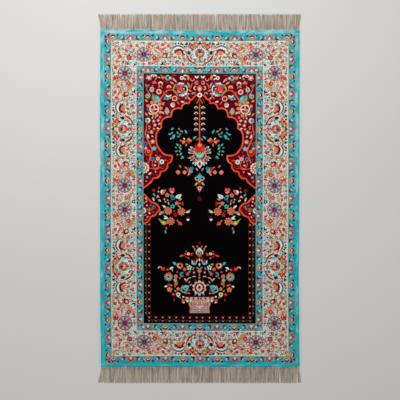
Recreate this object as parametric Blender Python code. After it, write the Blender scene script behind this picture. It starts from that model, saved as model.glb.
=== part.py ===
"""Prayer rug: one flat pile-woven body with a warp fringe along each end.

Metres, +Z up. X runs across the rug and +Y towards its niche end. The origin is the
centre of the underside, on the surface that the rug lies on.
"""

import math

import bmesh
import bpy
from mathutils import noise

# The pile body
BODY_WIDTH = 0.700
BODY_LENGTH = 1.185
BODY_THICKNESS = 0.0055
SHOULDER_RADIUS = 0.0020
SHOULDER_SEGMENTS = 2
CELLS_ACROSS = 24
CELLS_ALONG = 40
SWELL_HEIGHT = 0.0006
SWELL_PITCH = 0.16
RIM_ANGLE = math.radians(60)
SMOOTH_ANGLE = math.radians(40)

# The fringe: a heading strip with its locks, at each end of the body
CLEARANCE = 0.0003
HEADING_DEPTH = 0.0035
HEADING_INSET = 0.0008
FRINGE_REACH = 0.651
LOCKS_PER_END = 144
LOCK_FILL = 0.74
LOCK_SECTIONS = 3
LOCK_ROOT_HEIGHT = 0.0030
LOCK_TIP_HEIGHT = 0.0018
LOCK_TIP_TAPER = 0.84
TIP_SPREAD = 0.3585
CORNER_LEAN_POWER = 7
GAP_FALLOFF = 0.028
SWAY = 0.0008
SWAY_PITCH = 0.062
TRIM_WAVE = 0.0022
TRIM_PITCH = 0.045
TRIM_END_OFFSET = 3.7

# How far each edge stands out of the straight rectangle.
# Columns: place along the edge from -1 to 1, metres outwards.
FAR_EDGE = (
    (-1.00, 0.0042),
    (-0.84, 0.0018),
    (-0.36, 0.0006),
    (-0.10, -0.0018),
    (0.12, -0.0015),
    (0.60, -0.0008),
    (0.75, 0.0010),
    (1.00, 0.0013),
)
NEAR_EDGE = (
    (-1.00, 0.0005),
    (-0.50, -0.0007),
    (0.00, 0.0004),
    (0.85, 0.0007),
    (1.00, -0.0009),
)
LEFT_EDGE = (
    (-1.00, -0.0030),
    (-0.86, -0.0027),
    (-0.72, -0.0008),
    (0.00, 0.0000),
    (0.20, -0.0005),
    (0.48, 0.0008),
    (0.70, -0.0003),
    (1.00, -0.0008),
)
RIGHT_EDGE = (
    (-1.00, 0.0013),
    (-0.80, -0.0004),
    (-0.66, -0.0005),
    (-0.48, -0.0020),
    (-0.22, -0.0007),
    (0.28, 0.0002),
    (0.70, 0.0010),
    (1.00, 0.0013),
)

# Where the locks part into clumps. Columns: place across the rug, opening at the tips.
FAR_GAPS = (
    (-0.276, 0.0028),
    (-0.224, 0.0018),
    (-0.166, 0.0016),
    (-0.076, 0.0024),
    (0.056, 0.0028),
    (0.169, 0.0014),
    (0.218, 0.0030),
    (0.248, 0.0018),
    (0.306, 0.0014),
)
NEAR_GAPS = (
    (-0.296, 0.0032),
    (-0.190, 0.0020),
    (-0.130, 0.0030),
    (-0.070, 0.0022),
    (0.070, 0.0014),
    (0.201, 0.0014),
    (0.282, 0.0030),
    (0.341, 0.0046),
)

HALF_WIDTH = BODY_WIDTH / 2
HALF_LENGTH = BODY_LENGTH / 2
FAR, NEAR = 1, -1


def clear_scene():
    for old in list(bpy.data.objects):
        bpy.data.objects.remove(old, do_unlink=True)


def new_collection(name):
    collection = bpy.data.collections.new(name)
    bpy.context.scene.collection.children.link(collection)
    return collection


def new_material(name, colour, roughness):
    material = bpy.data.materials.new(name)
    material.use_nodes = True
    shader = material.node_tree.nodes["Principled BSDF"]
    shader.inputs["Base Color"].default_value = (*colour, 1.0)
    shader.inputs["Roughness"].default_value = roughness
    shader.inputs["Metallic"].default_value = 0.0
    return material


def add_piece(name, bm, collection, material):
    bmesh.ops.recalc_face_normals(bm, faces=bm.faces)
    mesh = bpy.data.meshes.new(name)
    bm.to_mesh(mesh)
    bm.free()
    mesh.materials.append(material)
    piece = bpy.data.objects.new(name, mesh)
    collection.objects.link(piece)
    return piece


def read_table(rows, place):
    """The table's value at a place, eased from row to row."""
    for (start, before), (end, after) in zip(rows, rows[1:]):
        if place <= end:
            share = max(0.0, (place - start) / (end - start))
            eased = share * share * (3 - 2 * share)
            return before + (after - before) * eased
    return rows[-1][1]


def left_edge(y):
    return -HALF_WIDTH - read_table(LEFT_EDGE, y / HALF_LENGTH)


def right_edge(y):
    return HALF_WIDTH + read_table(RIGHT_EDGE, y / HALF_LENGTH)


def end_edge(x, end):
    table = FAR_EDGE if end == FAR else NEAR_EDGE
    return end * (HALF_LENGTH + read_table(table, x / HALF_WIDTH))


def end_chord(x, end):
    """The end edge as the body's cells cut it, straight from column to column."""
    left = left_edge(end * HALF_LENGTH)
    right = right_edge(end * HALF_LENGTH)
    column = (x - left) / (right - left) * CELLS_ACROSS
    before = math.floor(column)
    first = end_edge((2 * before / CELLS_ACROSS - 1) * HALF_WIDTH, end)
    second = end_edge((2 * (before + 1) / CELLS_ACROSS - 1) * HALF_WIDTH, end)
    return first + (second - first) * (column - before)


def outline_point(across, along):
    """A place on the body from its shares across and along, each from -1 to 1."""
    x = across * HALF_WIDTH
    y = along * HALF_LENGTH
    near = end_edge(x, NEAR)
    far = end_edge(x, FAR)
    left = left_edge(y)
    right = right_edge(y)
    return (
        left + (right - left) * (across + 1) / 2,
        near + (far - near) * (along + 1) / 2,
    )


def pile_swell(x, y):
    """The soft unevenness of the pile's surface."""
    return SWELL_HEIGHT * noise.noise((x / SWELL_PITCH, y / SWELL_PITCH, 0.0))


def make_body(collection):
    """A gridded sheet with the rug's outline, thickened up from its flat underside."""
    bm = bmesh.new()
    bmesh.ops.create_grid(
        bm, x_segments=CELLS_ACROSS, y_segments=CELLS_ALONG, size=1.0
    )
    for vert in bm.verts:
        vert.co.x, vert.co.y = outline_point(vert.co.x, vert.co.y)
    bmesh.ops.solidify(bm, geom=bm.faces[:], thickness=-BODY_THICKNESS)
    bmesh.ops.recalc_face_normals(bm, faces=bm.faces)

    rim = [
        edge
        for edge in bm.edges
        if edge.calc_face_angle(0.0) > RIM_ANGLE
        and min(vert.co.z for vert in edge.verts) > BODY_THICKNESS / 2
    ]
    bmesh.ops.bevel(
        bm,
        geom=rim,
        offset=SHOULDER_RADIUS,
        segments=SHOULDER_SEGMENTS,
        profile=0.5,
        affect="EDGES",
        material=-1,
    )
    for vert in bm.verts:
        if vert.co.z > BODY_THICKNESS / 2:
            vert.co.z += pile_swell(vert.co.x, vert.co.y)
    underside = [face for face in bm.faces if face.calc_center_median().z < CLEARANCE]
    bmesh.ops.dissolve_faces(bm, faces=underside)

    pile = new_material("pile", (0.05, 0.42, 0.45), 0.85)
    body = add_piece("rug_body", bm, collection, pile)
    body.data.set_sharp_from_angle(angle=SMOOTH_ANGLE)
    return body


def parting(x, gaps):
    """How far the clumps have pulled a lock's tip towards their own middle."""
    return sum(
        math.copysign(opening / 2, x - place)
        * max(0.0, 1.0 - abs(x - place) / GAP_FALLOFF)
        for place, opening in gaps
    )


def corner_lean(x, outermost, tip_width, gaps):
    """How far a lock's tip leans out, most at the corner, where it ends at the spread."""
    most = TIP_SPREAD - tip_width / 2 - abs(outermost + parting(outermost, gaps))
    return math.copysign(most * (x / outermost) ** CORNER_LEAN_POWER, x)


def sway(x, along):
    """The locks' slight side bend, shared by neighbours so that they never cross."""
    return SWAY * math.sin(2 * math.pi * x / SWAY_PITCH) * math.sin(math.pi * along)


def trim_line(x, end):
    """Where the shears cut the locks, a little short of the straight line in places."""
    wave = 0.5 + 0.5 * noise.noise((x / TRIM_PITCH, end * TRIM_END_OFFSET, 0.0))
    return FRINGE_REACH - TRIM_WAVE * wave


def middle_of(face):
    return face.calc_center_median().x


def make_fringe(name, end, gaps, collection, material):
    """A heading strip beside the body's end, with each lock pulled out of its side."""
    start = left_edge(end * HALF_LENGTH) + HEADING_INSET
    stop = right_edge(end * HALF_LENGTH) - HEADING_INSET
    pitch = (stop - start) / (LOCKS_PER_END - 1 + LOCK_FILL)
    lock_width = pitch * LOCK_FILL

    # Columns alternate between a lock's root and the gap to the next lock.
    columns = 2 * LOCKS_PER_END - 1
    bm = bmesh.new()
    bmesh.ops.create_grid(bm, x_segments=columns, y_segments=1, size=1.0)
    for vert in bm.verts:
        line = round((vert.co.x + 1) / 2 * columns)
        vert.co.x = start + pitch * (line // 2) + lock_width * (line % 2)
        out = CLEARANCE + HEADING_DEPTH * (vert.co.y > 0)
        vert.co.y = end_chord(vert.co.x, end) + end * out
    bmesh.ops.solidify(bm, geom=bm.faces[:], thickness=-LOCK_ROOT_HEIGHT)
    bmesh.ops.recalc_face_normals(bm, faces=bm.faces)

    outer = [face for face in bm.faces if face.normal.y * end > 0.9]
    outer.sort(key=middle_of)
    tips = outer[::2]
    middles = [middle_of(face) for face in tips]
    bases = [face.calc_center_median().y for face in tips]
    tip_width = lock_width * LOCK_TIP_TAPER
    for section in range(1, LOCK_SECTIONS + 1):
        along = section / LOCK_SECTIONS
        width = lock_width + (tip_width - lock_width) * along
        height = LOCK_ROOT_HEIGHT + (LOCK_TIP_HEIGHT - LOCK_ROOT_HEIGHT) * along
        tips = bmesh.ops.extrude_discrete_faces(bm, faces=tips)["faces"]
        tips.sort(key=middle_of)
        for face, middle, base in zip(tips, middles, bases):
            before = middle_of(face)
            outermost = middles[0] if middle < 0 else middles[-1]
            lean = corner_lean(middle, outermost, tip_width, gaps)
            shift = (lean + parting(middle, gaps)) * along + sway(middle, along)
            reach = base + (end * trim_line(middle, end) - base) * along
            for vert in face.verts:
                side = math.copysign(width / 2, vert.co.x - before)
                top = height if vert.co.z > CLEARANCE else 0.0
                vert.co = (middle + shift + side, reach, top)
    return add_piece(name, bm, collection, material)


def main():
    clear_scene()
    rug = new_collection("prayer_rug")
    make_body(rug)
    yarn = new_material("fringe_yarn", (0.42, 0.34, 0.27), 0.9)
    make_fringe("fringe_far", FAR, FAR_GAPS, rug, yarn)
    make_fringe("fringe_near", NEAR, NEAR_GAPS, rug, yarn)


main()
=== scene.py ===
import cmath
import math
import random

import bmesh
import bpy
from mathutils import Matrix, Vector, geometry, noise


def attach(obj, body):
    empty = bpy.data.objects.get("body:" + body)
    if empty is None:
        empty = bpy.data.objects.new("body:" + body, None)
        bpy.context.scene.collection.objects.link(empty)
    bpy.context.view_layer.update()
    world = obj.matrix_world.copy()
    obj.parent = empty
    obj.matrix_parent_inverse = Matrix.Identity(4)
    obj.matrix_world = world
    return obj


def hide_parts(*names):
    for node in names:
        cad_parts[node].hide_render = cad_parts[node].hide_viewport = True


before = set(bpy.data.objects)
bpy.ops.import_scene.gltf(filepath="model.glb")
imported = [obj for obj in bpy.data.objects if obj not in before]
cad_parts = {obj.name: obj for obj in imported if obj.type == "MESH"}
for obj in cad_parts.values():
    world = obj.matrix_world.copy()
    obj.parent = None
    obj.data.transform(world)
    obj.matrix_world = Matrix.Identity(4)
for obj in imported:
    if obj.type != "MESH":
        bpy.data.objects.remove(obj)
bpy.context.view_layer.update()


# The grounds. A knotted rug is made from a chart that gives the dye of every knot. Here the
# chart is a stack of outlines in millimetres from the rug's middle, X across and Y towards the
# niche as one complex number, and a later outline's knots cover an earlier one's.
HALF_WIDTH = 350.0
HALF_LENGTH = 592.5
GUARD_GROUND = (337.0, 579.0)
BORDER_OUTER = (308.5, 551.0)
BORDER_INNER = (222.6, 465.4)
BORDER_RIM = 2.4
RIM_SHADE = 1.8
FIELD = (197.5, 439.5)
FIELD_RIM = 2.0

TURQUOISE = (60, 190, 197)
SEA = (64, 188, 196)
SAGE = (112, 170, 156)
IVORY = (228, 224, 204)
PALE = (214, 236, 226)
BLACK = (8, 6, 7)

chart = []


def same(point):
    return point


MIDDLE = (same,)


def lay(places, *drawn):
    """Adds outlines, each after its dye, once for each place and always counter-clockwise."""
    for dye, outline in zip(drawn[::2], drawn[1::2]):
        for place in places:
            points = [place(point) for point in outline]
            ahead = points[1:] + points[:1]
            if sum((a.conjugate() * b).imag for a, b in zip(points, ahead)) < 0:
                points.reverse()
            chart.append((dye, points))


def block(half_across, half_along):
    corner = complex(half_across, half_along)
    return [-corner, corner.conjugate(), corner, -corner.conjugate()]


lay(MIDDLE,
    TURQUOISE, block(HALF_WIDTH, HALF_LENGTH), SEA, block(*GUARD_GROUND),
    SAGE, block(*[half + BORDER_RIM + RIM_SHADE for half in BORDER_OUTER]),
    IVORY, block(*[half + BORDER_RIM for half in BORDER_OUTER]), PALE, block(*BORDER_OUTER),
    IVORY, block(*[half + BORDER_RIM for half in BORDER_INNER]), SEA, block(*BORDER_INNER),
    SAGE, block(*[half + FIELD_RIM for half in FIELD]), BLACK, block(*FIELD))


# The two guard stripes. They repeat a red carnation and an orange cup with dark buds between
# them, knotted on the same turquoise ground as the plain edge. Each motif is drawn once, along
# a line with outwards as up, and then laid at each of its places on all four sides.
OUTER_LINE = (323.7, 565.2)
INNER_LINE = (210.8, 453.0)
OUTER_STEP = 61.1
INNER_STEP = 60.7
BUD_OFFSET = 26.8
CORNER_CLEARANCE = 12
STROKE_STEP = 5.8
STROKE_SEED = 3

AQUA = (86, 206, 222)
DEEP = (24, 106, 128)
ROSE = (182, 58, 62)
BRICK = (196, 64, 42)
COPPER = (194, 110, 66)
RED = (210, 50, 48)
SALMON = (234, 134, 98)
PEARL = (226, 214, 216)
OLIVE = (166, 158, 72)
WINE = (104, 12, 40)
CREAM = (242, 222, 192)
GOLD = (216, 154, 70)
ORANGE = (224, 90, 54)
MAROON = (84, 6, 22)
FLAME = (216, 70, 44)
LILAC = (164, 152, 186)
GARNET = (176, 36, 46)
CRIMSON = (150, 12, 26)
TEAL = (10, 122, 128)
SKY = (150, 226, 234)
HAZE = (118, 172, 178)


def disc(at, radius, count=12):
    return [at + cmath.rect(radius, math.tau * k / count) for k in range(count)]


def petals(at, radius, count, depth=0.3, turn=0.0, steps=4):
    """A round flower's outline: its petals, cut in by a share of its radius, one at turn."""
    half = math.pi / count
    points = []
    for k in range(count * steps):
        angle = math.tau * k / (count * steps)
        lift = abs(math.sin(angle * count / 2)) ** 0.7
        points.append(at + cmath.rect(radius * (1 - depth + depth * lift), angle + turn - half))
    return points


def leaf(foot, tip, width, steps=5, bowed=0.0, belly=0.5):
    """A leaf from foot to tip, bowed to its left by a share of its length."""
    span = tip - foot
    power = math.log(0.5) / math.log(belly)
    left, right = [], []
    for k in range(1, steps):
        along = k / steps
        spine = foot + span * (along + 4j * bowed * along * (1 - along))
        half = 0.5j * width * span / abs(span) * math.sin(math.pi * along**power) ** 0.85
        left.append(spine + half)
        right.append(spine - half)
    return [foot] + right + [tip] + left[::-1]


def mirrored(point):
    return -point.conjugate()


def after(place, change):
    return lambda point: place(change(point))


def on_top(at):
    return lambda point: point + at


def on_bottom(at):
    return lambda point: point.conjugate() + at


def on_left(at):
    return lambda point: point * 1j + at


def on_right(at):
    return lambda point: point.conjugate() * 1j + at


def four_sides(line, across, along):
    """A motif's places: at each X on both ends and at each Y on both sides."""
    places = []
    for x in across:
        places += [on_top(complex(x, line[1])), on_bottom(complex(x, -line[1]))]
    for y in along:
        places += [on_left(complex(-line[0], y)), on_right(complex(line[0], y))]
    return places


def both_ways(places):
    return [*places, *(after(place, mirrored) for place in places)]


def carnations(places):
    sides = both_ways(places)
    lay(sides,
        AQUA, leaf(-9.4-1.6j, -18-0.4j, 6, 3), DEEP, leaf(-8.6+4.4j, -10-6j, 4, 3),
        ROSE, leaf(-5+10j, -12.6+8j, 4.4, 3), BRICK, leaf(-9.6+8.8j, -17.6+5j, 4.8, 3),
        COPPER, leaf(-7.8-7.8j, -18-7.4j, 7.0, 3))
    lay(places,
        RED, [-6.8-5j, -7.6+2j, -5.8+7j, 8.8j, 5.8+7j, 7.6+2j, 6.8-5j],
        SALMON, [-4.6-6j, -4.4+0j, 4.2j, 4.4+0j, 4.6-6j],
        PEARL, leaf(-9.4j, 1.8j, 6.6, 4, 0, 0.42))


def cups(places, below):
    sides = both_ways(places)
    lay(places,
        SAGE, leaf(-13-6j, 13-6j, 8, 3), OLIVE, leaf(-9.6-4.8j, 9.6-4.8j, 6.4, 4),
        WINE, leaf(-10.4+1.6j, 10.4+1.6j, 11, 5, 0.12),
        SALMON, leaf(-7.6+0.2j, 7.6+0.2j, 6.6, 4, 0.06), CREAM, leaf(-5+0.9j, 5+0.9j, 3, 3, 0.1),
        GOLD, leaf(-8-3.4j, 8-3.4j, 5.4, 4), ORANGE, leaf(-4.4-2.8j, 4.4-2.8j, 4.8, 3))
    lay(sides,
        MAROON, leaf(-20.6+7.4j, -10+7.8j, 7.6, 3, 0, 0.4),
        FLAME, leaf(-14.4+7.6j, -7.8+7.8j, 5.2, 3), LILAC, disc(-10.4+1.4j, 2.0, 5),
        below, leaf(-16.4-2.2j, -10.6-8.4j, 4.6, 3))


def dark_buds(places):
    lay(places,
        MAROON, [6+5.4j, 6.4-9.2j, -6.8-9.2j, -5.4-5j, 1+2.6j],
        GARNET, [3.6+4.4j, 4-6.6j, -6-6.8j, -5-4j, 0.4+3j],
        SALMON, leaf(-4.4-5.6j, 2.6+2.6j, 3.8, 3), PEARL, leaf(-5.6-3j, 0.4+4j, 3.0, 3))


def beside(line, across, along, offset):
    """The places of the buds on one side of the carnations, facing away from them."""
    spots = four_sides(
        line,
        [x + offset for x in across if abs(x + offset) < line[0] - CORNER_CLEARANCE],
        [y + offset for y in along if abs(y + offset) < line[1] - CORNER_CLEARANCE],
    )
    return [after(spot, mirrored) for spot in spots] if offset > 0 else spots


def odd(count):
    return [2 * k + 1 for k in range(-count, count)]


def even(count):
    return [2 * k for k in range(-count, count + 1)]


# Small strokes of leaf along both stripes first, then their motifs
quarters = (same, mirrored, lambda point: point.conjugate(), lambda point: -point)
toss = random.Random(STROKE_SEED)
for line, step, red_x, cup_x, red_y, cup_y, below in (
    (OUTER_LINE, OUTER_STEP, even(2), odd(3), even(4), odd(5), ROSE),
    (INNER_LINE, INNER_STEP, odd(2), even(1), odd(4), even(3), CRIMSON),
):
    for k in range(round((line[0] + line[1]) / STROKE_STEP)):
        at = complex(-line[0], k * STROKE_STEP)
        if at.imag > line[1]:
            at = complex(line[1] - at.imag, line[1])
        across = (at.imag < line[1]) * 1.0
        at += toss.uniform(-9, 8) * (across + (1 - across) * 1j)
        way = (across * 1j + 1 - across) * cmath.rect(toss.uniform(3, 6), toss.uniform(-0.6, 0.6))
        tint = (DEEP, AQUA, SAGE, DEEP, TEAL, SKY, SAGE)[k % 7]
        lay(quarters, tint, leaf(at - way, at + way, toss.uniform(3.4, 5.4), 2))
    red_x, cup_x, red_y, cup_y = (
        [step * k for k in steps] for steps in (red_x, cup_x, red_y, cup_y)
    )
    if step == INNER_STEP:
        lay(quarters, HAZE, [-222+465j, -222+450j, -208+451j, -206+465j])
    carnations(four_sides(line, red_x, red_y))
    cups(four_sides(line, cup_x, cup_y), below)
    dark_buds(beside(line, red_x, red_y, BUD_OFFSET))
    dark_buds(beside(line, red_x, red_y, -BUD_OFFSET))
for at, size, dye in (
    (-318.5+577j, 3.2, CRIMSON), (-331+564.6j, 3.2, CRIMSON), (-329+577j, 3.4, ORANGE),
    (-321.6+567.6j, 3.4, ROSE), (-206+447j, 5.2, ROSE), (-204+444j, 3.6, CRIMSON),
    (-198+452.6j, 3.4, PEARL), (-209+437j, 3, ORANGE), (-217+452j, 3, ORANGE),
):
    lay(quarters, dye, disc(at, size, 7))


# The main border. Six alike panels, one across each end and two up each side, lie between
# twelve star rosettes on a mint ground, with a block of scattered blossom in each corner. A
# panel is drawn once, from its middle towards one rosette with outwards as up, and mirrored.
BORDER_X = 267.4
BORDER_Y = 510.6
PANEL_Y = (242.9, -239.6)
PANEL_REACH = 185
PANEL_DEPTH = 40
SPECKS = 150
SPECK_SEED = 11
ROSETTE_X = BORDER_X - 4
ROSETTE_Y = (439, 45, -40, -438.5)
END_ROSETTE = (197, 505.6)
SIDE_CROSSES = (-302, -229, 229, 302)
END_CROSSES = (545.3j, 472j, -545.3j, -472j)
CORNER_FLOWER = -248.5+494.3j
CORNER_SPOTS = (-253+472.4j, -228.4+470j)
CORNER_SPECKS = 130

UMBRA = (146, 74, 62)
TAN = (192, 144, 100)
WHITE = (240, 242, 234)
MINT = (212, 234, 224)
GREY = (150, 180, 174)
PLUM = (50, 16, 50)
PINK = (222, 124, 124)
GREEN = (118, 150, 96)
BLUE = (0, 142, 180)
ROAN = (158, 98, 84)
BLUSH = (240, 178, 158)
CORAL = (232, 98, 84)
POPPY = (228, 66, 60)
RUST = (150, 58, 34)
UMBER = (92, 46, 48)


def curve(*points, steps=3):
    """A smooth line through the points."""
    line = []
    ends = [2 * points[0] - points[1], *points, 2 * points[-1] - points[-2]]
    for a, b, c, d in zip(ends, ends[1:], ends[2:], ends[3:]):
        for t in [k / steps for k in range(steps)]:
            line.append(
                b + (c - a) * t / 2 + (a - 2.5 * b + 2 * c - d / 2) * t**2
                + (1.5 * (b - c) + (d - a) / 2) * t**3
            )
    return line + [points[-1]]


def stem(line, width, ends=1.0):
    """A stem along a line, its ends a share of its width."""
    left, right = [], []
    last = len(line) - 1
    for k, point in enumerate(line):
        run = line[min(k + 1, last)] - line[max(k - 1, 0)]
        share = ends + (1 - ends) * math.sin(math.pi * k / last) ** 0.6
        half = 0.5j * width * share * run / abs(run)
        left.append(point + half)
        right.append(point - half)
    return right + left[::-1]


def blossom(places, at, radius, dye, heart, count=5, turn=0.3):
    lay(places, dye, petals(at, radius, count, 0.34, turn, 3), heart, disc(at, radius * 0.36, 7))


def ringed(places, at, radius, dye, heart, share=0.55):
    lay(places, dye, petals(at, radius, 8, 0.1, 0, 2), heart, disc(at, radius * share, 9))


def leaves(places, steps, *rows):
    """Leaves with as many steps a side. A row holds dye, foot, tip, width and how it is bowed."""
    for dye, foot, tip, width, *bowed in rows:
        lay(places, dye, leaf(foot, tip, width, steps, *bowed))


BOTH = (same, mirrored)
panels = [on_top(1j * BORDER_Y), on_bottom(-1j * BORDER_Y)]
for y in PANEL_Y:
    panels += [on_left(complex(-BORDER_X, y)), on_right(complex(BORDER_X, y))]
halves = both_ways(panels)

# Fine tendrils and leaf specks under everything else
dice = random.Random(SPECK_SEED)
for k in range(SPECKS):
    at = complex(-dice.uniform(4, PANEL_REACH), dice.uniform(-PANEL_DEPTH, PANEL_DEPTH))
    way = cmath.rect(dice.uniform(2.8, 6), dice.uniform(0, math.tau))
    tint = (UMBRA, TAN, WHITE, BRICK, SAGE, TAN, UMBRA, WHITE, OLIVE, MINT)[k % 10]
    lay(halves, tint, leaf(at - way, at + way, dice.uniform(3.2, 5.2), 2))

# The palmette in the middle of the panel, and the branches round it
leaves(halves, 4,
    (GREY, -52+17j, -37+13j, 3.2, 0.15), (GREY, -44+27j, -40+16j, 2.8, 0.1),
    (MAROON, -34.6+41j, -35+31j, 6.4), (PLUM, -46+41j, -46+30j, 7.4),
    (SAGE, -47+31j, -47.6+22j, 6), (ORANGE, -34.6-10j, -28-20j, 8.6, 0.1),
    (CRIMSON, -22.6-16j, -16-26.6j, 7, 0.1), (SALMON, -47-1j, -40-24j, 4.4, 0.12),
    (ORANGE, -18-41j, -13-38j, 5.6), (BRICK, -46+23j, -38+30j, 3.4))
lay(halves,
    PINK, stem([-15-35.6j, -7-39.4j, 0-42j], 2.8),
    CRIMSON, stem(curve(-48-5j, -39.6-18j, -31.4-27j, -14-36j, steps=3), 5.2, 0.5),
    RED, [-23+11.5j, -30+15j, -42+22.7j, -30+30.4j, -23+34j, -20+22.7j],
    SALMON, leaf(-22+22.7j, -33+22.7j, 6.6, 4), CRIMSON, disc(-27+12.6j, 3.4, 6),
    CRIMSON, disc(-28+33j, 3.4, 6), ORANGE, leaf(-33+22.7j, -44+24j, 5, 3),
    GREEN, leaf(-24+23.6j, -8+23j, 12, 5, 0.05), OLIVE, leaf(-24+24j, -14+23j, 4, 3),
    TURQUOISE, disc(-29.6-0.6j, 6.8, 9), MINT, disc(-27.6+1.4j, 3.2, 6),
    MAROON, leaf(-41+12j, -39.4-6j, 12, 4, 0.08), ROSE, disc(-35.6+6.6j, 2.4, 6),
    TEAL, leaf(-27-8j, -33-6j, 3.4, 3), AQUA, disc(-8.8-23j, 5.4, 4), MINT, disc(-8.8-23j, 2.0, 4))
blossom(halves, -31-37.5j, 7.2, GREY, BLUE)
lay(halves,
    TEAL, disc(-81-27j, 4.2, 7), DEEP, disc(-53.6-24j, 4.4, 7), TAN, leaf(-26+38.6j, -4+35j, 9.6),
    COPPER, leaf(-24+38.4j, -5+35.6j, 7, 4), BRICK, leaf(-7+39j, -4.6+29j, 4.6, 3),
    MAROON, leaf(-24+33j, -17+33.6j, 4.4, 3), CRIMSON, leaf(-13+26j, -8+20j, 3.6, 3))
lay(panels, PLUM, leaf(31j, 43j, 10, 4), DEEP, disc(37.6j, 2.6, 7))
lay(halves, COPPER, disc(-8+29j, 3.6, 6), SALMON, leaf(-5+28j, 23j, 4, 3))
lay(panels, MINT, petals(1.4j, 19.8, 12, 0.1, 0, 2), ROAN, petals(1.4j, 18.4, 14, 0.14, 0.3, 2))
for k in range(14):
    way = cmath.rect(1, math.tau * (k + 0.5) / 14)
    dye = (UMBRA, GREY, TAN, ROAN)[k % 4]
    lay(panels, dye, leaf(1.4j + way * 8, 1.4j + way * 17, 3.0, 3))
lay(panels,
    CRIMSON, leaf(-8.8+4.8j, 8.8+4.8j, 6.6, 4, 0.22),
    SALMON, petals(-1.6j, 8.4, 6, 0.16, math.pi / 2, 2))
lay(halves, BLUSH, disc(-4.4-1.6j, 3.6, 7))
lay(panels, GOLD, leaf(-7.4j, 2.4j, 4.4, 4), PLUM, disc(4.6j, 3.2, 7), BRICK, leaf(9j, 16j, 8, 4))
lay(halves, TEAL, leaf(-8+12j, -4+16j, 4, 3))
lay(panels,
    BRICK, leaf(-6j, -17j, 5, 4), ROSE, disc(-17j, 3.6, 7), BRICK, disc(-27.6j, 5.2, 8),
    SALMON, disc(-28.4j, 2.2, 5), CRIMSON, leaf(-34j, -41j, 5, 3))

# The crescent that shelters a tulip
lay(halves,
    GREY, stem(curve(-99+11j, -91+21j, -77+26j, -63+23j, -51+15j, steps=2), 7.2, 0.2),
    TEAL, stem(curve(-97+14j, -90+22.6j, -77.6+27.4j, -66+25j, -56+18j, steps=2), 5.0, 0.3),
    WHITE, stem(curve(-94+10j, -88+16.6j, -77+21.4j, -66+19.6j, -58+13j, steps=2), 3.8, 0.3),
    CRIMSON, stem(curve(-75+27.4j, -68+25j, -61+20.6j, steps=2), 3.6, 0.4),
    CORAL, petals(-73+3.6j, 10.8, 5, 0.14, math.pi / 2, 3),
    MAROON, stem(curve(-86.6+0j, -84+9j, -73+13.6j, -62+10j, -59.4-7.4j, steps=2), 6.4, 0.7),
    PINK, leaf(-74+9j, -67-3j, 9, 4), OLIVE, petals(-76-1.4j, 5.6, 5, 0.16, 0.3, 2))
for at, size, dye in (
    (-57+10.7j, 3.6, ORANGE), (-87.6+10.7j, 3.6, ORANGE), (-55.6-4j, 4.2, ORANGE),
    (-95+28j, 2.8, PINK), (-85.6+33.6j, 3.4, CRIMSON), (-75+35.4j, 3.4, CRIMSON),
    (-66+35j, 4.2, CRIMSON), (-60+31.4j, 3.4, MAROON), (-53.6+24.8j, 3.4, CRIMSON),
    (-71-17.4j, 4.6, ORANGE), (-57-39j, 4.6, RED), (-80.4-30.6j, 3.8, BLUE),
    (-176.6-36.6j, 4.2, RED), (-167-36.6j, 4.2, RED),
):
    lay(halves, dye, disc(at, size, 7))

# Leaves and small flowers between the crescent and the rosette
leaves(halves, 4,
    (ORANGE, -97-12.6j, -78-9j, 7, -0.16), (ORANGE, -82-31j, -76-40j, 5.6, 0.1),
    (BLUE, -54-23j, -53-33j, 4.4), (ORANGE, -53.5-12j, -53-23j, 4.4),
    (CRIMSON, -117.6-26.6j, -124-35j, 6.6), (ORANGE, -119-40.6j, -129-41j, 5.4),
    (OLIVE, -106-36j, -112-41j, 4.6), (TAN, -112.6+0j, -119-7j, 6),
    (OLIVE, -142-40j, -160-41j, 4.6), (SALMON, -64-26j, -69-31j, 4.4),
    (GREY, -90-22j, -94-16j, 4.0), (SALMON, -48-34j, -42-30j, 4.0), (SALMON, -100+3j, -95-3j, 3.6),
    (COPPER, -108-10j, -90-12.6j, 4.6), (FLAME, -76-10j, -70-15j, 8), (FLAME, -62+0j, -54-2j, 8),
    (UMBRA, -60-12j, -56-20j, 5), (FLAME, -62-32j, -58-38j, 7.6), (COPPER, -54-26j, -52-16j, 5),
    (GARNET, -84-28j, -84-36j, 7), (UMBRA, -108-18j, -100-14j, 6), (BRICK, -96-36j, -90-40j, 5),
    (UMBRA, -48+4j, -52+12j, 4), (PINK, -104+20j, -109+12j, 3.6))
lay(halves,
    TAN, leaf(-164-39j, -129-12j, 14, 6, 0.13, 0.42),
    SALMON, leaf(-156-35.6j, -139-23j, 5.6, 4, 0.1))
for at in (-150-34j, -143-29j, -137-21j):
    lay(halves, BRICK, disc(at, 1.5, 5))
lay(halves,
    PLUM, petals(-134-36j, 7.8, 5, 0.2, 0.6, 2), WHITE, disc(-136.4-33.4j, 4.2, 7),
    BLUE, disc(-135.4-33j, 2.2, 6), CRIMSON, leaf(-111.5+1j, -131.6-17.6j, 19, 6, 0, 0.56),
    SALMON, leaf(-118-5j, -129-15j, 11, 4, 0, 0.56), CREAM, leaf(-121-8j, -127-13.6j, 4.6, 3),
    HAZE, petals(-102.6-28.6j, 10.0, 8, 0.2, 0, 2),
    WHITE, petals(-102.6-28.6j, 6.8, 6, 0.2, 0.3, 2), RED, disc(-102.6-28.6j, 4.4, 8))
ringed(halves, -160.4-17j, 8.2, CRIMSON, PINK)
lay(halves, RED, leaf(-166-13j, -155-13j, 4.6, 3, 0.2), GREEN, leaf(-152-12j, -146-6j, 3.6, 3))
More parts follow.
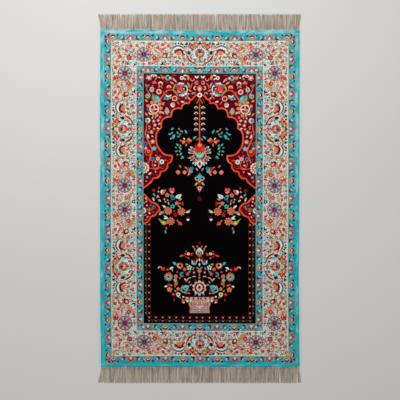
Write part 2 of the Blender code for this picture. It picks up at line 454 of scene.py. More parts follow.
for at, size, dye, heart in (
    (-178+31.7j, 7.4, BRICK, ORANGE), (-178.7+20.3j, 4.4, CRIMSON, RED),
    (-163+19.6j, 6.8, SALMON, CREAM), (-159+35.4j, 6.4, TAN, CREAM),
    (-148.8+19j, 6.6, BRICK, ORANGE), (-130+29.6j, 7.2, BRICK, ORANGE),
    (-110.4+25j, 7.6, ORANGE, BRICK), (-122+18j, 5.0, BRICK, SALMON),
    (-135.4+10j, 7.0, PINK, BRICK), (-138-1j, 4.6, TAN, CREAM),
    (-154.5+7.5j, 5.8, TAN, BRICK), (-143+34j, 4.4, SALMON, CREAM),
    (-168+6j, 4.8, PINK, CREAM), (-120+37j, 4.4, TAN, BRICK),
    (-148-3j, 4.2, SALMON, CREAM), (-170+36j, 4.4, TAN, OLIVE),
    (-128+15j, 4.6, BRICK, ORANGE), (-168+26j, 4.4, ORANGE, BRICK),
    (-148+29j, 4.4, ORANGE, CREAM), (-144+12j, 4.0, ORANGE, SALMON),
    (-116+8j, 4.2, SALMON, CREAM), (-186+24j, 4.6, ORANGE, BRICK),
    (-172+14j, 3.8, ORANGE, CREAM), (-101+36j, 4.0, SALMON, CREAM),
):
    blossom(halves, at, size, dye, heart)

# The star rosettes, with a small cross above and below each
end_x, end_y = END_ROSETTE
rosettes = [on_top(complex(x, y)) for x in (-ROSETTE_X, ROSETTE_X) for y in ROSETTE_Y]
rosettes += [on_top(complex(x, y)) for x in (-end_x, end_x) for y in (end_y, -end_y)]
crosses = [on_top(x + cross) for x in (-end_x, end_x) for cross in END_CROSSES]
crosses += [on_left(complex(x, y)) for y in ROSETTE_Y for x in SIDE_CROSSES]
for way, dye in ((10, TAN), (7j, OLIVE), (-10, TAN), (-7j, OLIVE)):
    lay(crosses, dye, leaf(0j, way, 4.6))
lay(crosses, TEAL, disc(0j, 3.2, 8))
lay(rosettes, POPPY, petals(0j, 26.8, 16, 0.08, 0, 3), TURQUOISE, disc(0j, 21.4, 16))
for k in range(8):
    way = cmath.rect(1, math.tau * (k + 0.5) / 8)
    lay(rosettes, SKY, leaf(way * 14, way * 21.6, 5.4, 3))
    way = cmath.rect(1, math.tau * k / 8)
    lay(rosettes, (DEEP, TEAL)[k % 2], leaf(way * 11, way * 21, 7.4, 4))
lay(rosettes, DEEP, disc(0j, 11.6, 12))
for k in range(8):
    way = cmath.rect((11, 13)[k % 2], math.tau * k / 8)
    lay(rosettes, (CORAL, FLAME)[k % 2], disc(way, 3.4, 6))
lay(rosettes,
    CRIMSON, petals(0j, 8.4, 8, 0.2, 0, 2), MAROON, disc(0j, 4.4, 7), BLUSH, disc(0j, 1.8, 5))

# The scattered blossom of the corner blocks, drawn in one corner
for at, size, dye, heart in (
    (-269+550.5j, 5.0, BRICK, SALMON), (-243+536.4j, 6.2, BRICK, ORANGE),
    (-221+537j, 8.0, ORANGE, FLAME), (-300+520j, 8.0, FLAME, SALMON),
    (-257.7+518.6j, 8.0, ORANGE, BRICK), (-291+539.4j, 7.8, PINK, WHITE),
    (-305+539.4j, 6.0, ROSE, CREAM), (-271.7+534.6j, 6.4, TAN, CREAM),
    (-256.4+536.4j, 4.6, TAN, SALMON), (-284+510.6j, 4.6, GARNET, BRICK),
    (-295.6+507j, 4.4, ORANGE, SALMON), (-280.3+498j, 8.0, FLAME, ORANGE),
    (-291+481j, 7.4, ORANGE, BRICK), (-269+479j, 4.6, CRIMSON, BRICK),
    (-295+459j, 7.4, BRICK, ORANGE), (-300+422.5j, 7.2, BRICK, ORANGE),
    (-282+466j, 4.4, TAN, SALMON), (-267+495.5j, 4.8, GOLD, ORANGE),
    (-268+508j, 4.8, SALMON, CREAM), (-304+492j, 4.6, TAN, CREAM),
    (-231+524j, 4.0, TAN, OLIVE), (-284+526j, 4.4, CRIMSON, PINK),
    (-305+471j, 4.0, SALMON, CREAM), (-256+505j, 4.2, PINK, CREAM),
    (-222+518j, 3.6, TAN, CREAM), (-306+551j, 4.0, TAN, OLIVE),
    (-271+524j, 3.2, RUST, BRICK), (-226.5+495.5j, 4.2, UMBER, OLIVE),
):
    blossom(quarters, at, size, dye, heart)
lay(quarters,
    BRICK, leaf(-256+547j, -243.6+551.4j, 6, 4), GARNET, leaf(-248+509j, -231+514.6j, 4, 4),
    CRIMSON, petals(CORNER_FLOWER, 10.0, 5, 0.2, 0.3, 3),
    PINK, petals(CORNER_FLOWER, 6.2, 5, 0.3, 0.3, 2), CRIMSON, disc(CORNER_FLOWER, 2.6, 6))
for at in CORNER_SPOTS:
    lay(quarters, MAROON, disc(at, 3.9, 8))
for k in range(CORNER_SPECKS):
    at = complex(-dice.uniform(226, 307), dice.uniform(469, 549))
    way = cmath.rect(dice.uniform(2.2, 4.8), dice.uniform(0, math.tau))
    tint = (TAN, SALMON, OLIVE, BRICK, ROSE, TAN, WHITE, ORANGE, GREY)[k % 9]
    if min(abs(at - CORNER_FLOWER), abs(at - CORNER_SPOTS[1])) > CORNER_CLEARANCE:
        lay(quarters, tint, leaf(at - way, at + way, 3.0, 2))

# The short links between the two rosettes in the middle of each side
ringed(BOTH, -257.7+2j, 7.4, BRICK, PINK)
lay(BOTH,
    TAN, leaf(-232+20j, -249-14j, 12, 6, -0.16), PLUM, petals(-232-12j, 6.8, 5, 0.2),
    SKY, disc(-232-12j, 2.8, 7))
for at, size, dye in (
    (-235+29j, 4, RED), (-235+20j, 4, RED), (-304+26j, 5, BRICK),
    (-289+9j, 6, ORANGE), (-303+3j, 6, BRICK), (-290-5j, 5, CRIMSON),
    (-300-21j, 6.4, BRICK), (-279-8j, 5.4, SALMON), (-276+14j, 5, TAN),
    (-284+20j, 3.6, CRIMSON), (-272+3j, 3.6, TAN), (-288-18j, 3.6, SALMON),
):
    blossom(BOTH, at, size, dye, SALMON)


# The spandrels. Above the niche's lobed orange line the ground is burgundy, filled with leaves,
# cups and two palmettes on each side; the niche itself is black. All of it is drawn on the left
# half and mirrored.
ARCH_WIDTH = 5.4
TENDRILS = 130
TENDRIL_CLEARANCE = 8

BURGUNDY = (90, 8, 28)
EMBER = (240, 92, 58)


def bow(start, stop, rise, steps=6):
    """An arc from start to stop that rises to its left by a share of its length."""
    span = stop - start
    return [
        start + span * (k / steps + 4j * rise * k / steps * (1 - k / steps))
        for k in range(steps)
    ]


def hoop(at, radius, width, opens=1j, gap=2.4, steps=8):
    """A thick C round a point, open towards one side by an angle."""
    first = cmath.phase(opens) + gap / 2
    turns = [first + (math.tau - gap) * k / steps for k in range(steps + 1)]
    return stem([at + cmath.rect(radius, turn) for turn in turns], width, 0.6)


def inside(outline, point):
    """Whether an outline goes round a point."""
    ahead = outline[1:] + outline[:1]
    turned = sum(cmath.phase((b - point) / (a - point)) for a, b in zip(outline, ahead))
    return abs(turned) > math.pi


arch = (
    bow(-5+366j, -24.6+351j, -0.14)
    + bow(-24.6+351j, -37+336j, -0.2)
    + bow(-37+336j, -64+317j, -0.28)
    + bow(-64+317j, -99.6+288j, -0.32)
    + bow(-99.6+288j, -134.6+247.6j, -0.29)
    + curve(-134.6+247.6j, -142+243j, -148+236j, -152+226j, -153+212j,
            -152.4+198j, -149.5+187j, -145+178j, -139+169j, -131+160j,
            -121+153.6j, -109+151j, -97+151j, steps=2)[:-1]
    + curve(-97+151j, -97+142j, -100+132j, -105+126.5j, -113+121.5j, steps=2)[:-1]
    + curve(-113+121.5j, -113.6+111j, -118+101.5j, -126+96j, -137.5+94.5j,
            steps=2)[:-1]
    + curve(-137.5+94.5j, -138.5+86j, -142.5+78j, -150+72j, -164+70.3j, steps=2)[:-1]
    + curve(-164+70.3j, -169.8+58.7j, -181.5+48.4j, -197.5+36.5j, steps=2)
)
spandrel = [*arch, -197.5+438.5j, 438.5j, 366j]
lay(BOTH, BURGUNDY, spandrel)

hip = (
    curve(-197.5+14j, -191+10j, -183+0.4j, -175-7.6j, -168-15.7j, steps=2)[:-1]
    + curve(-168-15.7j, -159-17j, -149-22.4j, -142.5-32j, -140-41j, steps=2)[:-1]
    + curve(-140-41j, -149-49j, -156-58.7j, -173.4-65.5j, steps=2)[:-1]
    + curve(-173.4-65.5j, -175-72j, -179-79j, -187-85.6j, -197.5-89j, steps=2)
)
lay(BOTH, BURGUNDY, hip)

# Fine dark tendrils in the ground, then the lines and the vines
for k in range(TENDRILS):
    at = complex(-dice.uniform(4, 192), dice.uniform(45, 434))
    way = cmath.rect(dice.uniform(3.4, 7.4), dice.uniform(0, math.tau))
    if inside(spandrel, at) and min(abs(at - point) for point in arch) > TENDRIL_CLEARANCE:
        tint = (GARNET, BRICK, ROSE, GARNET, CRIMSON)[k % 5]
        lay(BOTH, tint, leaf(at - way, at + way, 2.9, 3, 0.2))
lay(BOTH, EMBER, stem(arch, ARCH_WIDTH), EMBER, stem(hip, ARCH_WIDTH))
for line, width in (
    (curve(-184+264j, -187+252j, -187+240j, -191+229j, -186+216j, -182+204j,
           -176+191j, -171+180j, -167.6+168j, -169.4+157j, -174+147j, -177+134j,
           -180+122j, steps=2), 4.6),
    (curve(-142+341j, -136+351j, -128+363j, -119+374j, -110+380.5j, -93+381j,
           steps=2), 4.4),
    (curve(-166+130j, -167+116j, -159+106j, -148+107j, -143+118j, -147+130j,
           steps=2), 3.4),
    (curve(-190+173j, -192+160j, -182+150j, -173+157j, steps=2), 3.0),
    (curve(-24+406j, -29+400j, -33+388j, steps=2), 4.2),
    (curve(-188+388j, -184+378j, -178+370j, -172+362j, steps=2), 3.4),
    (curve(-178+106j, -166+104j, -152+102j, -140+108j, -128+103j, steps=2), 2.8),
    (curve(-79+343j, -76+337j, -71+331j, steps=2), 4.4),
):
    lay(BOTH, EMBER, stem(line, width, 0.6))
leaves(BOTH, 5,
    (CREAM, -161+434.6j, -149+426j, 5.4, 0.1), (GREY, -157+417.4j, -150+425j, 4.6),
    (MINT, -146.4+425j, -138.4+425j, 4.4), (OLIVE, -137.6+435j, -132.6+428j, 3.2),
    (ORANGE, -136.6+424.6j, -120.6+424.6j, 13.4), (GOLD, -135+424.6j, -127+424.6j, 7),
    (ROSE, -97.4+433j, -81.6+432j, 3.8, 0.1), (GREY, -94.6+424.8j, -90+413.4j, 5.4),
    (BLUSH, -89.6+421j, -80.4+409j, 4.4, -0.1), (SALMON, -105.6+411.6j, -90+401.6j, 7),
    (RUST, -128+412j, -109+406j, 5, 0.1), (WHITE, -58.6+430j, -44+432.4j, 4.8, 0.22),
    (MINT, -59.6+424.4j, -47.6+416.6j, 4, 0.1), (GOLD, -42.4+437j, -39.4+416.6j, 8.6),
    (WHITE, -17.6+433.4j, -10.2+423j, 4.6), (MINT, -3.6+433.4j, -10.8+423j, 4.6),
    (SALMON, -146.6+389.4j, -137+394.6j, 5, 0.1), (ORANGE, -139+395j, -130.6+385.4j, 5, 0.1),
    (GREEN, -191.6+402j, -182+388.4j, 7), (TAN, -182+401j, -178+394j, 4),
    (RED, -158.6+387.4j, -150.6+382.4j, 3.8), (OLIVE, -166.4+391j, -163+398j, 3.4),
    (RUST, -131+378j, -120.4+363j, 10, 0.05), (ORANGE, -128+374j, -121+364j, 6),
    (GREY, -45.4+410j, -36.6+390j, 5.8, 0.1), (GOLD, -41.4+384.6j, -27.6+377.6j, 5),
    (LILAC, -42+367j, -44+357.6j, 4.4), (PINK, -45.6+359j, -51.4+350j, 5.4),
    (BLUSH, -41.4+358j, -34.4+349j, 5.4), (ROSE, -77.6+351j, -68.4+351j, 4.4),
    (CREAM, -67+342.4j, -53.6+340j, 5.8), (BLUSH, -44+372j, -36+368j, 5),
    (GOLD, -191.6+348.4j, -181.4+339.4j, 8, -0.1), (GREEN, -165+367j, -160+338j, 15, 0.06),
    (OLIVE, -164+360j, -161+344j, 5), (TURQUOISE, -154.6+363j, -144.4+334.6j, 14, 0.08),
    (SKY, -150+357j, -146.4+347j, 3, 0.08), (EMBER, -141+345.6j, -133.6+336j, 5),
    (TAN, -134.6+329.6j, -121.4+336.4j, 6, 0.1), (SALMON, -133+327j, -124+331j, 4),
    (TEAL, -187+316.6j, -174.6+305.4j, 6.4), (GOLD, -191.6+300.6j, -182.4+291j, 6.6),
    (TAN, -139+291j, -139+280j, 6.8), (TAN, -156+290j, -154+279j, 4.6),
    (SKY, -145.6+259.4j, -137+264.6j, 5.4), (CREAM, -151.4+247.4j, -141.6+245j, 5),
    (BLUE, -181.4+236j, -178.6+228.4j, 5.4), (GOLD, -179.4+248.4j, -174.4+241.6j, 4.8),
    (GREY, -180.6+255.6j, -171.6+249.6j, 4.6), (RUST, -186+290j, -175+286j, 5, 0.1),
    (RUST, -182+262j, -174+262j, 5), (CREAM, -182+227j, -177+210j, 6, -0.1),
    (SKY, -168.4+221j, -163.6+214.6j, 5), (ORANGE, -156.6+153.6j, -150+148j, 7),
    (SALMON, -141+149.6j, -136.6+146j, 4.6), (ORANGE, -126.6+134j, -113.6+134j, 4.6),
    (BLUSH, -157.6+132.6j, -153.6+125.6j, 4.6), (ROSE, -125+123j, -120+118j, 4),
    (CREAM, -162+119.6j, -152.6+118j, 5, -0.3), (SALMON, -156+98.6j, -154+88.4j, 5),
    (WHITE, -180.6+83.4j, -169.4+90.4j, 5.6), (TURQUOISE, -188.6+78j, -181+70j, 6.6),
    (RUST, -192+158j, -187+151j, 4.6), (ROSE, -188+141j, -183+134j, 4.6),
    (RUST, -152+84j, -146+80j, 4), (RUST, -129+115j, -122+110j, 4),
    (PINK, -192+62j, -184+58j, 4.6), (RUST, -106+140j, -102+134j, 4),
    (BRICK, -193.6+226j, -187+218j, 3.6), (ROSE, -197+218j, -192.4+211j, 3.4),
    (BRICK, -196.8+204j, -194+196j, 3.4), (RED, -196.8+182j, -194.4+173j, 4),
    (BRICK, -186+131j, -180+125j, 3.6), (ROSE, -155+165j, -148+161j, 4),
    (BRICK, -152+106j, -147+101j, 3.6), (BRICK, -133+107j, -127+103j, 3.6))
lay(MIDDLE, EMBER, leaf(375j, 400j, 21, 4), MINT, disc(387j, 4.4, 8))
blossom(BOTH, -179.6+424j, 10.4, PINK, MINT, 5, 0.9)
lay(BOTH,
    TEAL, disc(-183+419j, 2.8, 7), GREY, leaf(-179+418j, -170+419j, 4),
    CREAM, hoop(-166+429.6j, 4.6, 3.8, -1j, 1.2), ROSE, disc(-165.6+429.4j, 2.4, 6),
    TURQUOISE, hoop(-112+424j, 7.6, 5.2, 1, 1.8), SKY, leaf(-116+429j, -110+432j, 3.4),
    RED, disc(-113+423.4j, 2.2, 6), TAN, petals(-103+423.6j, 6.2, 4, 0.16, 0, 3),
    CREAM, disc(-105.4+423.6j, 3.4, 7))
ringed(BOTH, -63+425j, 7.0, CREAM, BURGUNDY, 0.4)
lay(BOTH,
    SALMON, hoop(-26+421.6j, 6.2, 4.4, 1j, 2.2), PINK, hoop(-11+408.4j, 5.4, 4.2, 1, 0.6),
    ROSE, disc(-11+408.4j, 2.4, 6), BLUSH, hoop(-14.6+389.6j, 5.8, 4.2, 1, 2.8),
    GREY, hoop(-21.6+368.6j, 5, 3.8, -1j, 3.0),
    GARNET, [-168.4+402j, -149+402j, -150.4+410j, -158.6+415.6j, -166.8+410j],
    CORAL, [-166+403.6j, -151.6+403.6j, -153+409.4j, -158.6+413.4j, -164.6+409.4j],
    OLIVE, hoop(-138+401.6j, 6.4, 4.4, -1j, 1.2), CREAM, hoop(-138+402.6j, 6.4, 4.6, -1j, 3.2))
ringed(BOTH, -143.6+375j, 10.0, BLUSH, CRIMSON, 0.5)
lay(BOTH, ROSE, disc(-143.6+375j, 3.6, 8))
ringed(BOTH, -168+384.6j, 7.6, BLUSH, RED, 0.46)
lay(BOTH,
    TURQUOISE, hoop(-168+382j, 6.6, 5, 0.4+1j, 3.1), BLUSH, hoop(-108+389.6j, 6.6, 4.4, -1j, 2.6),
    EMBER, disc(-108+390j, 3.6, 7))
ringed(BOTH, -88+352j, 10.0, BLUSH, MAROON, 0.62)
lay(BOTH,
    ROSE, disc(-88+352j, 3.6, 8),
    TURQUOISE, [-128+349j, -109+346.4j, -112+359j, -117+365j, -121+357j],
    PLUM, leaf(-121+351j, -114+355j, 5.4),
    MINT, stem(curve(-119+364j, -111+358j, -99+364j, steps=2), 5.6, 0.4),
    SALMON, leaf(-109+350j, -99+357j, 6), GREY, disc(-182.6+359j, 8.6, 10),
    TURQUOISE, hoop(-183+359j, 7, 5, -1-0.3j, 3.0), RED, disc(-184.6+358j, 3.8, 7),
    GREY, leaf(-123.6+306j, -106.4+306j, 24, 6, 0.12), SALMON, disc(-115+310j, 5.0, 8),
    OLIVE, leaf(-110+307j, -104+301j, 4), OLIVE, leaf(-113+302j, -113+292j, 4.6),
    SALMON, disc(-93.6+330.6j, 8.0, 9), WHITE, hoop(-94+329.6j, 6.6, 4, 1+1.4j, 3.0),
    GREY, disc(-93.6+329.6j, 4.6, 8), CREAM, hoop(-182+274j, 6.6, 6, -1, 2.4),
    GREY, hoop(-182+274j, 6.8, 5.6, 1+2j, 4.2), TURQUOISE, disc(-186.4+277.4j, 4.6, 8),
    CREAM, hoop(-172+301j, 5.4, 4.2, 1j, 2.4),
    TEAL, stem(curve(-168+300j, -162+292j, -163+286j, -167+279.6j, steps=2), 6, 0.5),
    SKY, leaf(-163.4+287j, -167+279j, 4.4))
for at, size, dye, heart, count in (
    (-145+274j, 6.2, PINK, MINT, 5), (-161+271j, 6.6, PINK, MINT, 5),
    (-157+257.6j, 6.8, SALMON, MINT, 5), (-160+244j, 6.8, ROSE, BLUSH, 6),
    (-169+233j, 7.4, SALMON, MINT, 5), (-165+199.4j, 8.8, SALMON, MINT, 5),
    (-190.4+191j, 8.0, TEAL, PLUM, 6), (-189+176j, 6.6, PINK, BLUSH, 5),
    (-159.6+175.4j, 8.8, TURQUOISE, SKY, 5), (-180+165j, 7.2, SALMON, RED, 6),
    (-166.4+138j, 8.2, BLUE, PLUM, 6), (-147+139.4j, 8.2, BLUSH, PINK, 6),
):
    blossom(BOTH, at, size, dye, heart, count, math.pi / 2)
ringed(BOTH, -133.6+128.6j, 8.8, MINT, CRIMSON, 0.38)

# The spandrel's two palmettes and the half flower at its foot
top_palmette = [after(place, on_top(-66+385j)) for place in BOTH]
for way, size, dye in (
    (-5+20j, 4.4, WHITE), (2+20.4j, 3.6, MINT), (8.4+19.6j, 3.8, BLUSH),
    (16+12j, 4, BLUSH), (3-21.6j, 4.6, BLUSH), (9-21j, 3.8, WHITE), (16.6-15.6j, 5, WHITE),
):
    lay(top_palmette, dye, petals(way, size, 4, 0.12, 0.4, 2))
lay(top_palmette,
    PEARL, hoop(1.6+0j, 20.8, 4.0, -1, 4.9),
    OLIVE, stem(curve(-17+17j, -22+11j, -25.6+3j, -28.6-4.4j, steps=2), 5.8, 0.6),
    OLIVE, stem(curve(-28.6-4j, -20-10j, -15-16j, -11-23.6j, steps=2), 5.8, 0.6),
    RED, petals(-3.4+1.4j, 14.4, 8, 0.12, 0.2))
for way, size, dye in (
    (-12+16j, 3.2, TURQUOISE), (-18+9j, 3.4, TEAL), (-1+15j, 4.0, BLUE),
    (10+12j, 3.6, TEAL), (5.6+16j, 2.8, GOLD), (13-8j, 3.8, TURQUOISE),
    (6-15j, 4.0, TURQUOISE), (-3-20.6j, 4.2, GREY), (-12-16j, 3.8, TEAL),
):
    lay(top_palmette, dye, disc(way, size, 7))
lay(top_palmette,
    PINK, leaf(-14-4j, 0-12j, 7, 4, -0.1), ORANGE, leaf(-2+8j, 4-8j, 9, 4, 0.1),
    MAROON, disc(8.4+1.6j, 5.4, 8), CREAM, leaf(6.6+1.6j, 13.4+1.6j, 5, 3))

side_palmette = [after(place, on_top(-158.6+315j)) for place in BOTH]
for way, size in (
    (-9.4+21.6j, 6.6), (3.6+23.4j, 6.8), (17+15.6j, 6.2), (22.8+2j, 6.6), (20-12j, 6.2),
    (9-22.6j, 6.4), (-22.4+10j, 6.4), (-4-21j, 5.0),
):
    lay(side_palmette, SALMON, petals(way, size, 3, 0.14, cmath.phase(way), 3))
lay(side_palmette,
    BLUSH, leaf(22-10j, 34-19.6j, 6, 4, 0.1), MINT, petals(-0.6-0.4j, 17.6, 9, 0.1, 0.2),
    CRIMSON, disc(-0.6-0.6j, 13.6, 14))
for start, stop, wide, dye in (
    (-1+13j, -1-1j, 4.6, BLUSH), (-2-1.6j, 13-1.4j, 4.2, CREAM),
    (0-2j, -13.4-4.2j, 6.4, SALMON), (-1.4-3j, -5.4-15.4j, 6.2, ORANGE),
):
    lay(side_palmette, dye, stem([start, stop], wide))
lay(side_palmette, TAN, leaf(-12-6j, -3-5j, 3.4, 3))

half_flower = [after(place, on_top(-197.5+107j)) for place in BOTH]
for k, dye in enumerate((SKY, MINT, WHITE, CREAM, WHITE, MINT, SKY)):
    way = cmath.rect(1, math.pi * (k / 6 - 0.5) * 0.94)
    lay(half_flower, dye, disc(0.4 + way * 16.4, 3.8, 7))
for radius, count, dye in (
    (13.4, 12, ORANGE), (10.8, 12, OLIVE), (9.0, 10, CREAM), (5.4, 8, RUST),
):
    lay(half_flower, dye, [
        cmath.rect(radius * (1 - 0.06 * (k % 2)), math.pi * (k / count - 0.5))
        for k in range(count + 1)
    ])

# Inside the hips
ringed(BOTH, -176.7-39.5j, 8.0, EMBER, BURGUNDY, 0.66)
lay(BOTH,
    OLIVE, leaf(-176.7-44.6j, -176.7-34.4j, 5), BLUE, hoop(-159.6-33j, 5.4, 4, 1-0.6j, 2.4),
    RED, disc(-156.4-34j, 2.6, 6))
for radius, dye in ((10.8, TURQUOISE), (8.2, WHITE), (5.4, TEAL), (3.0, RED)):
    lay(BOTH, dye, [-197.4-43j + cmath.rect(radius, math.pi * (k / 8 - 0.5)) for k in range(9)])
leaves(BOTH, 5,
    (CREAM, -192+3j, -186-4j, 5), (BLUSH, -190-14j, -184-8j, 5), (PINK, -196-12j, -193-20j, 5),
    (BLUE, -175-22j, -169-26j, 5), (CREAM, -188-27j, -182-23j, 4.6),
    (WHITE, -180-50j, -173-55j, 5), (ROSE, -168-50j, -160-47j, 4.4),
    (PINK, -194-61j, -186-57j, 4.6), (BLUSH, -186-68j, -180-62j, 4.4),
    (ORANGE, -193-78j, -184-72j, 6), (ROSE, -165-25j, -160-22j, 3.4),
    (ROSE, -184-34j, -187-42j, 3.4), (ROSE, -168-34j, -165-42j, 3.2),
    (ROSE, -151-38j, -147-42j, 3.4))


# The niche's lamp. A flower lamp hangs from the arch on an orange pole with small white
# florets, a lotus, and a kite-shaped pendant, with two pairs of flowering sprigs beside it.
FLORET_X = 12.4
FLORET_Y = (321, 301, 281.6, 262.4, 243.6)
LOTUS = 156j
RAYS = 155j
BERRY = -38.4+204.6j

ringed(MIDDLE, 365j, 8.8, WHITE, BURGUNDY, 0.44)
lay(BOTH,
    RUST, stem(curve(-9+356j, -14+348j, -17.6+337j, steps=2), 1.8, 0.4),
    EMBER, stem([355j, -5+344j, -11+334.6j], 3.4, 0.8))
lay(MIDDLE, RUST, leaf(337j, 348j, 6), EMBER, stem([335j, 290j, 245j, 196j], 3.6))
for y in FLORET_Y:
    for side in (-1, 1):
        at = complex(FLORET_X * side, y)
        arc = curve(
            at - 6.6 - 2j, at - 3.8 + 2.4j, at + 4j, at + 3.8 + 2.4j, at + 6.6 - 2j, steps=1
        )
        lay(MIDDLE,
            MINT, stem(arc, 2.4), BRICK, leaf(at + 2j, at - 6j, 5.0, 4, 0, 0.36),
            EMBER, leaf(at - 4.6 - 0.4j, at - 1 - 4.4j, 3, 3))
lay(BOTH, EMBER, leaf(1+214j, -12.4+205j, 5.6, 5, -0.06))

# The lotus: fifteen white petals with dark hearts, round a ring of orange
for tip, wide in (
    (-33.6+184.6j, 8.2), (-39.8+175j, 6.2), (-41.6+163.6j, 6.4), (-40.6+142.4j, 6.0),
    (-33.4+134j, 6.4), (-25.4+121.6j, 7.4), (-16.6+115.6j, 7.0),
):
    span = tip - LOTUS
    lay(BOTH,
        MINT, leaf(LOTUS + span * 0.48, tip, wide * 0.94, 5, 0, 0.62),
        CRIMSON, leaf(LOTUS + span * 0.56, LOTUS + span * 0.9, wide * 0.58, 4, 0, 0.6))
lay(MIDDLE, MINT, leaf(142j, 107j, 20, 7, 0, 0.45))
lay(BOTH, MINT, leaf(-9+138j, -15+122j, 6))
for at, size in (
    (-24.4+176j, 3.6), (-17.6+170.6j, 3.0), (-29.6+163j, 2.6), (-30.6+152.4j, 3.0),
    (-28.4+140j, 3.6), (-21+132.4j, 2.6), (-11.4+131j, 3.4),
):
    lay(BOTH, CRIMSON, leaf(at - size, at + size, size * 1.7, 4))
lay(MIDDLE, CRIMSON, leaf(130j, 114.6j, 10, 5, 0, 0.45))
for k in range(13):
    way = cmath.rect(1, math.pi * (k / 12 * 1.36 - 1.18))
    lay(MIDDLE, (SALMON, EMBER)[k % 2], leaf(RAYS + way * 17, RAYS + way * 25.6, 7, 4))
lay(MIDDLE, MAROON, disc(LOTUS, 18.6, 14))
leaves(BOTH, 5,
    (RED, -10+176j, -15.6+192j, 8), (EMBER, -4+178j, -7+196j, 7.6),
    (EMBER, -12+170j, -19.6+181j, 7), (RED, 160j, 190j, 17), (BRICK, -9+162j, -12+182j, 10),
    (SALMON, -15+157j, -21.6+168j, 6))
lay(MIDDLE, GOLD, leaf(182j, 198.6j, 9.4), SALMON, leaf(186j, 196j, 4.4))
for at in (-11.3+175.4j, -4.2+170j):
    lay(BOTH, TEAL, disc(at, 2.6, 7))
lay(BOTH,
    TURQUOISE, stem([141j, -8+148j, -13.6+158j, -11.6+165j], 7.4, 0.7),
    SKY, stem([146j, -7+152j, -11+160j], 2.6, 0.7), BLUSH, stem([149j, -8.6+158j], 3.6))
lay(MIDDLE, OLIVE, [150.6j, 7.6+159j, 5+164j, 162.4j, -5+164j, -7.6+159j])

# Salmon leaves, and the kite with its curls, fan and dark tassel
lay(BOTH, SALMON, leaf(-7.2+97.4j, -14+108.6j, 5.4, 5, -0.1))
lay(MIDDLE,
    TURQUOISE, [92j, -3+86j, -9.6+79j, -8+73.6j, -2.6+68j, 2.6+68j, 8+73.6j, 9.6+79j, 3+86j])
lay(BOTH,
    BLUSH, stem(curve(-4.4+65.6j, -12+67j, -15.6+73j, -10.6+77j, steps=2), 3.6, 0.7),
    CRIMSON, leaf(-2.6+64j, -15+63.6j, 4.6, 5, 0.1), BRICK, leaf(-2.6+60j, -13+57j, 4))
lay(MIDDLE, CRIMSON, leaf(46j, 60j, 10.4, 4))
lay(BOTH,
    BLUSH, stem([57j, -2.4+63j, -5+68j], 2.8), OLIVE, leaf(-6.4+57.4j, -18.4+46.6j, 6, 5, 0.04),
    CREAM, leaf(-8+56j, -14+51j, 3.6))
lay(MIDDLE,
    EMBER, [23.4j, 5.6+30j, 7.4+36j, 12.6+42.4j, 4+42.4j, 46j, -4+42.4j, -12.6+42.4j, -7.4+36j,
        -5.6+30j],
    SKY, disc(37.6j, 5.6, 9), PLUM, disc(37.6j, 3.2, 7), MAROON, stem([20j, 8j], 1.6),
    WINE, disc(0j, 7.2, 8))

# The sprigs' slender leaves and flowers
for foot, tip, width, dye in (
    (-99.4+240j, -90.6+248.4j, 5.6, TURQUOISE), (-110.6+224.6j, -99+226j, 5.8, TURQUOISE),
    (-93.6+208.6j, -86.4+226j, 9.4, TURQUOISE), (-81.6+235.6j, -74.4+226.6j, 5.6, TURQUOISE),
    (-79.6+217j, -68.4+218.4j, 5.4, TURQUOISE), (-83+193.4j, -74.6+184.6j, 5.8, TURQUOISE),
    (-73+183j, -64.4+170j, 6.2, TURQUOISE), (-87+164.6j, -76+166.4j, 5.4, TURQUOISE),
    (-70+152.4j, -61.6+161.4j, 5.6, TURQUOISE), (-64.6+150.4j, -56+141.4j, 5.6, TURQUOISE),
    (-52.6+242.4j, -45+228j, 6.2, TURQUOISE), (-23+208.4j, -9.6+220.4j, 6.4, TURQUOISE),
    (-99.4+227j, -93+233.4j, 5, OLIVE), (-76+247.4j, -69+240.6j, 4.8, TAN),
    (-68.6+239.4j, -57.6+233j, 5.4, TAN), (-71+222.6j, -65+229.4j, 5, OLIVE),
    (-104+207j, -96.4+212.6j, 5, OLIVE), (-71+190j, -64.6+183.6j, 5, TAN),
    (-87+178.4j, -80+179.6j, 4.6, OLIVE), (-74+169j, -67+163.4j, 4.6, TAN),
    (-81+151j, -75+157j, 4.6, OLIVE), (-67.4+142.6j, -60.6+141.4j, 4.6, TAN),
    (-58+214.6j, -51.4+207j, 5, CREAM), (-47.8+195j, -48+183.6j, 5.8, TAN),
    (-73.4+118j, -65.6+108j, 6.8, EMBER), (-54.4+112.4j, -43.6+104j, 4.8, OLIVE),
    (-41.4+81j, -33+90.6j, 5, BLUSH), (-84+93j, -80+99j, 4, RUST),
):
    lay(BOTH, dye, leaf(foot, tip, width, 5, 0.08))
for at, size in ((-76+92.6j, 7.8), (-53.4+93j, 7.4)):
    lay(BOTH, SALMON, petals(at, size, 4, 0.2, 0, 3), TAN, disc(at, size * 0.3, 6))
for way, dye in ((-12, RED), (-11.4j, RED), (11.4, SALMON), (10.4j, SALMON)):
    lay(BOTH, dye, leaf(BERRY, BERRY + way, 9, 5, 0, 0.6))
lay(BOTH,
    BRICK, disc(-40+203j, 3.4, 7), GOLD, disc(-36.6+206.6j, 3.0, 6),
    EMBER, petals(-57+199.6j, 7.8, 3, 0.26, 2.4, 3), EMBER, leaf(-60+203j, -71+204.6j, 7),
    GREY, disc(-56+200j, 3.4, 7), RED, petals(-38.6+103j, 8.6, 5, 0.24, 0.3, 3),
    EMBER, leaf(-38+98j, -28+90.6j, 8), PINK, leaf(-40+97j, -33+86.6j, 5.6),
    TURQUOISE, leaf(-33+110j, -24.6+92j, 10.4, 5, -0.12), BLUE, disc(-27.6+106.4j, 6.4, 9))


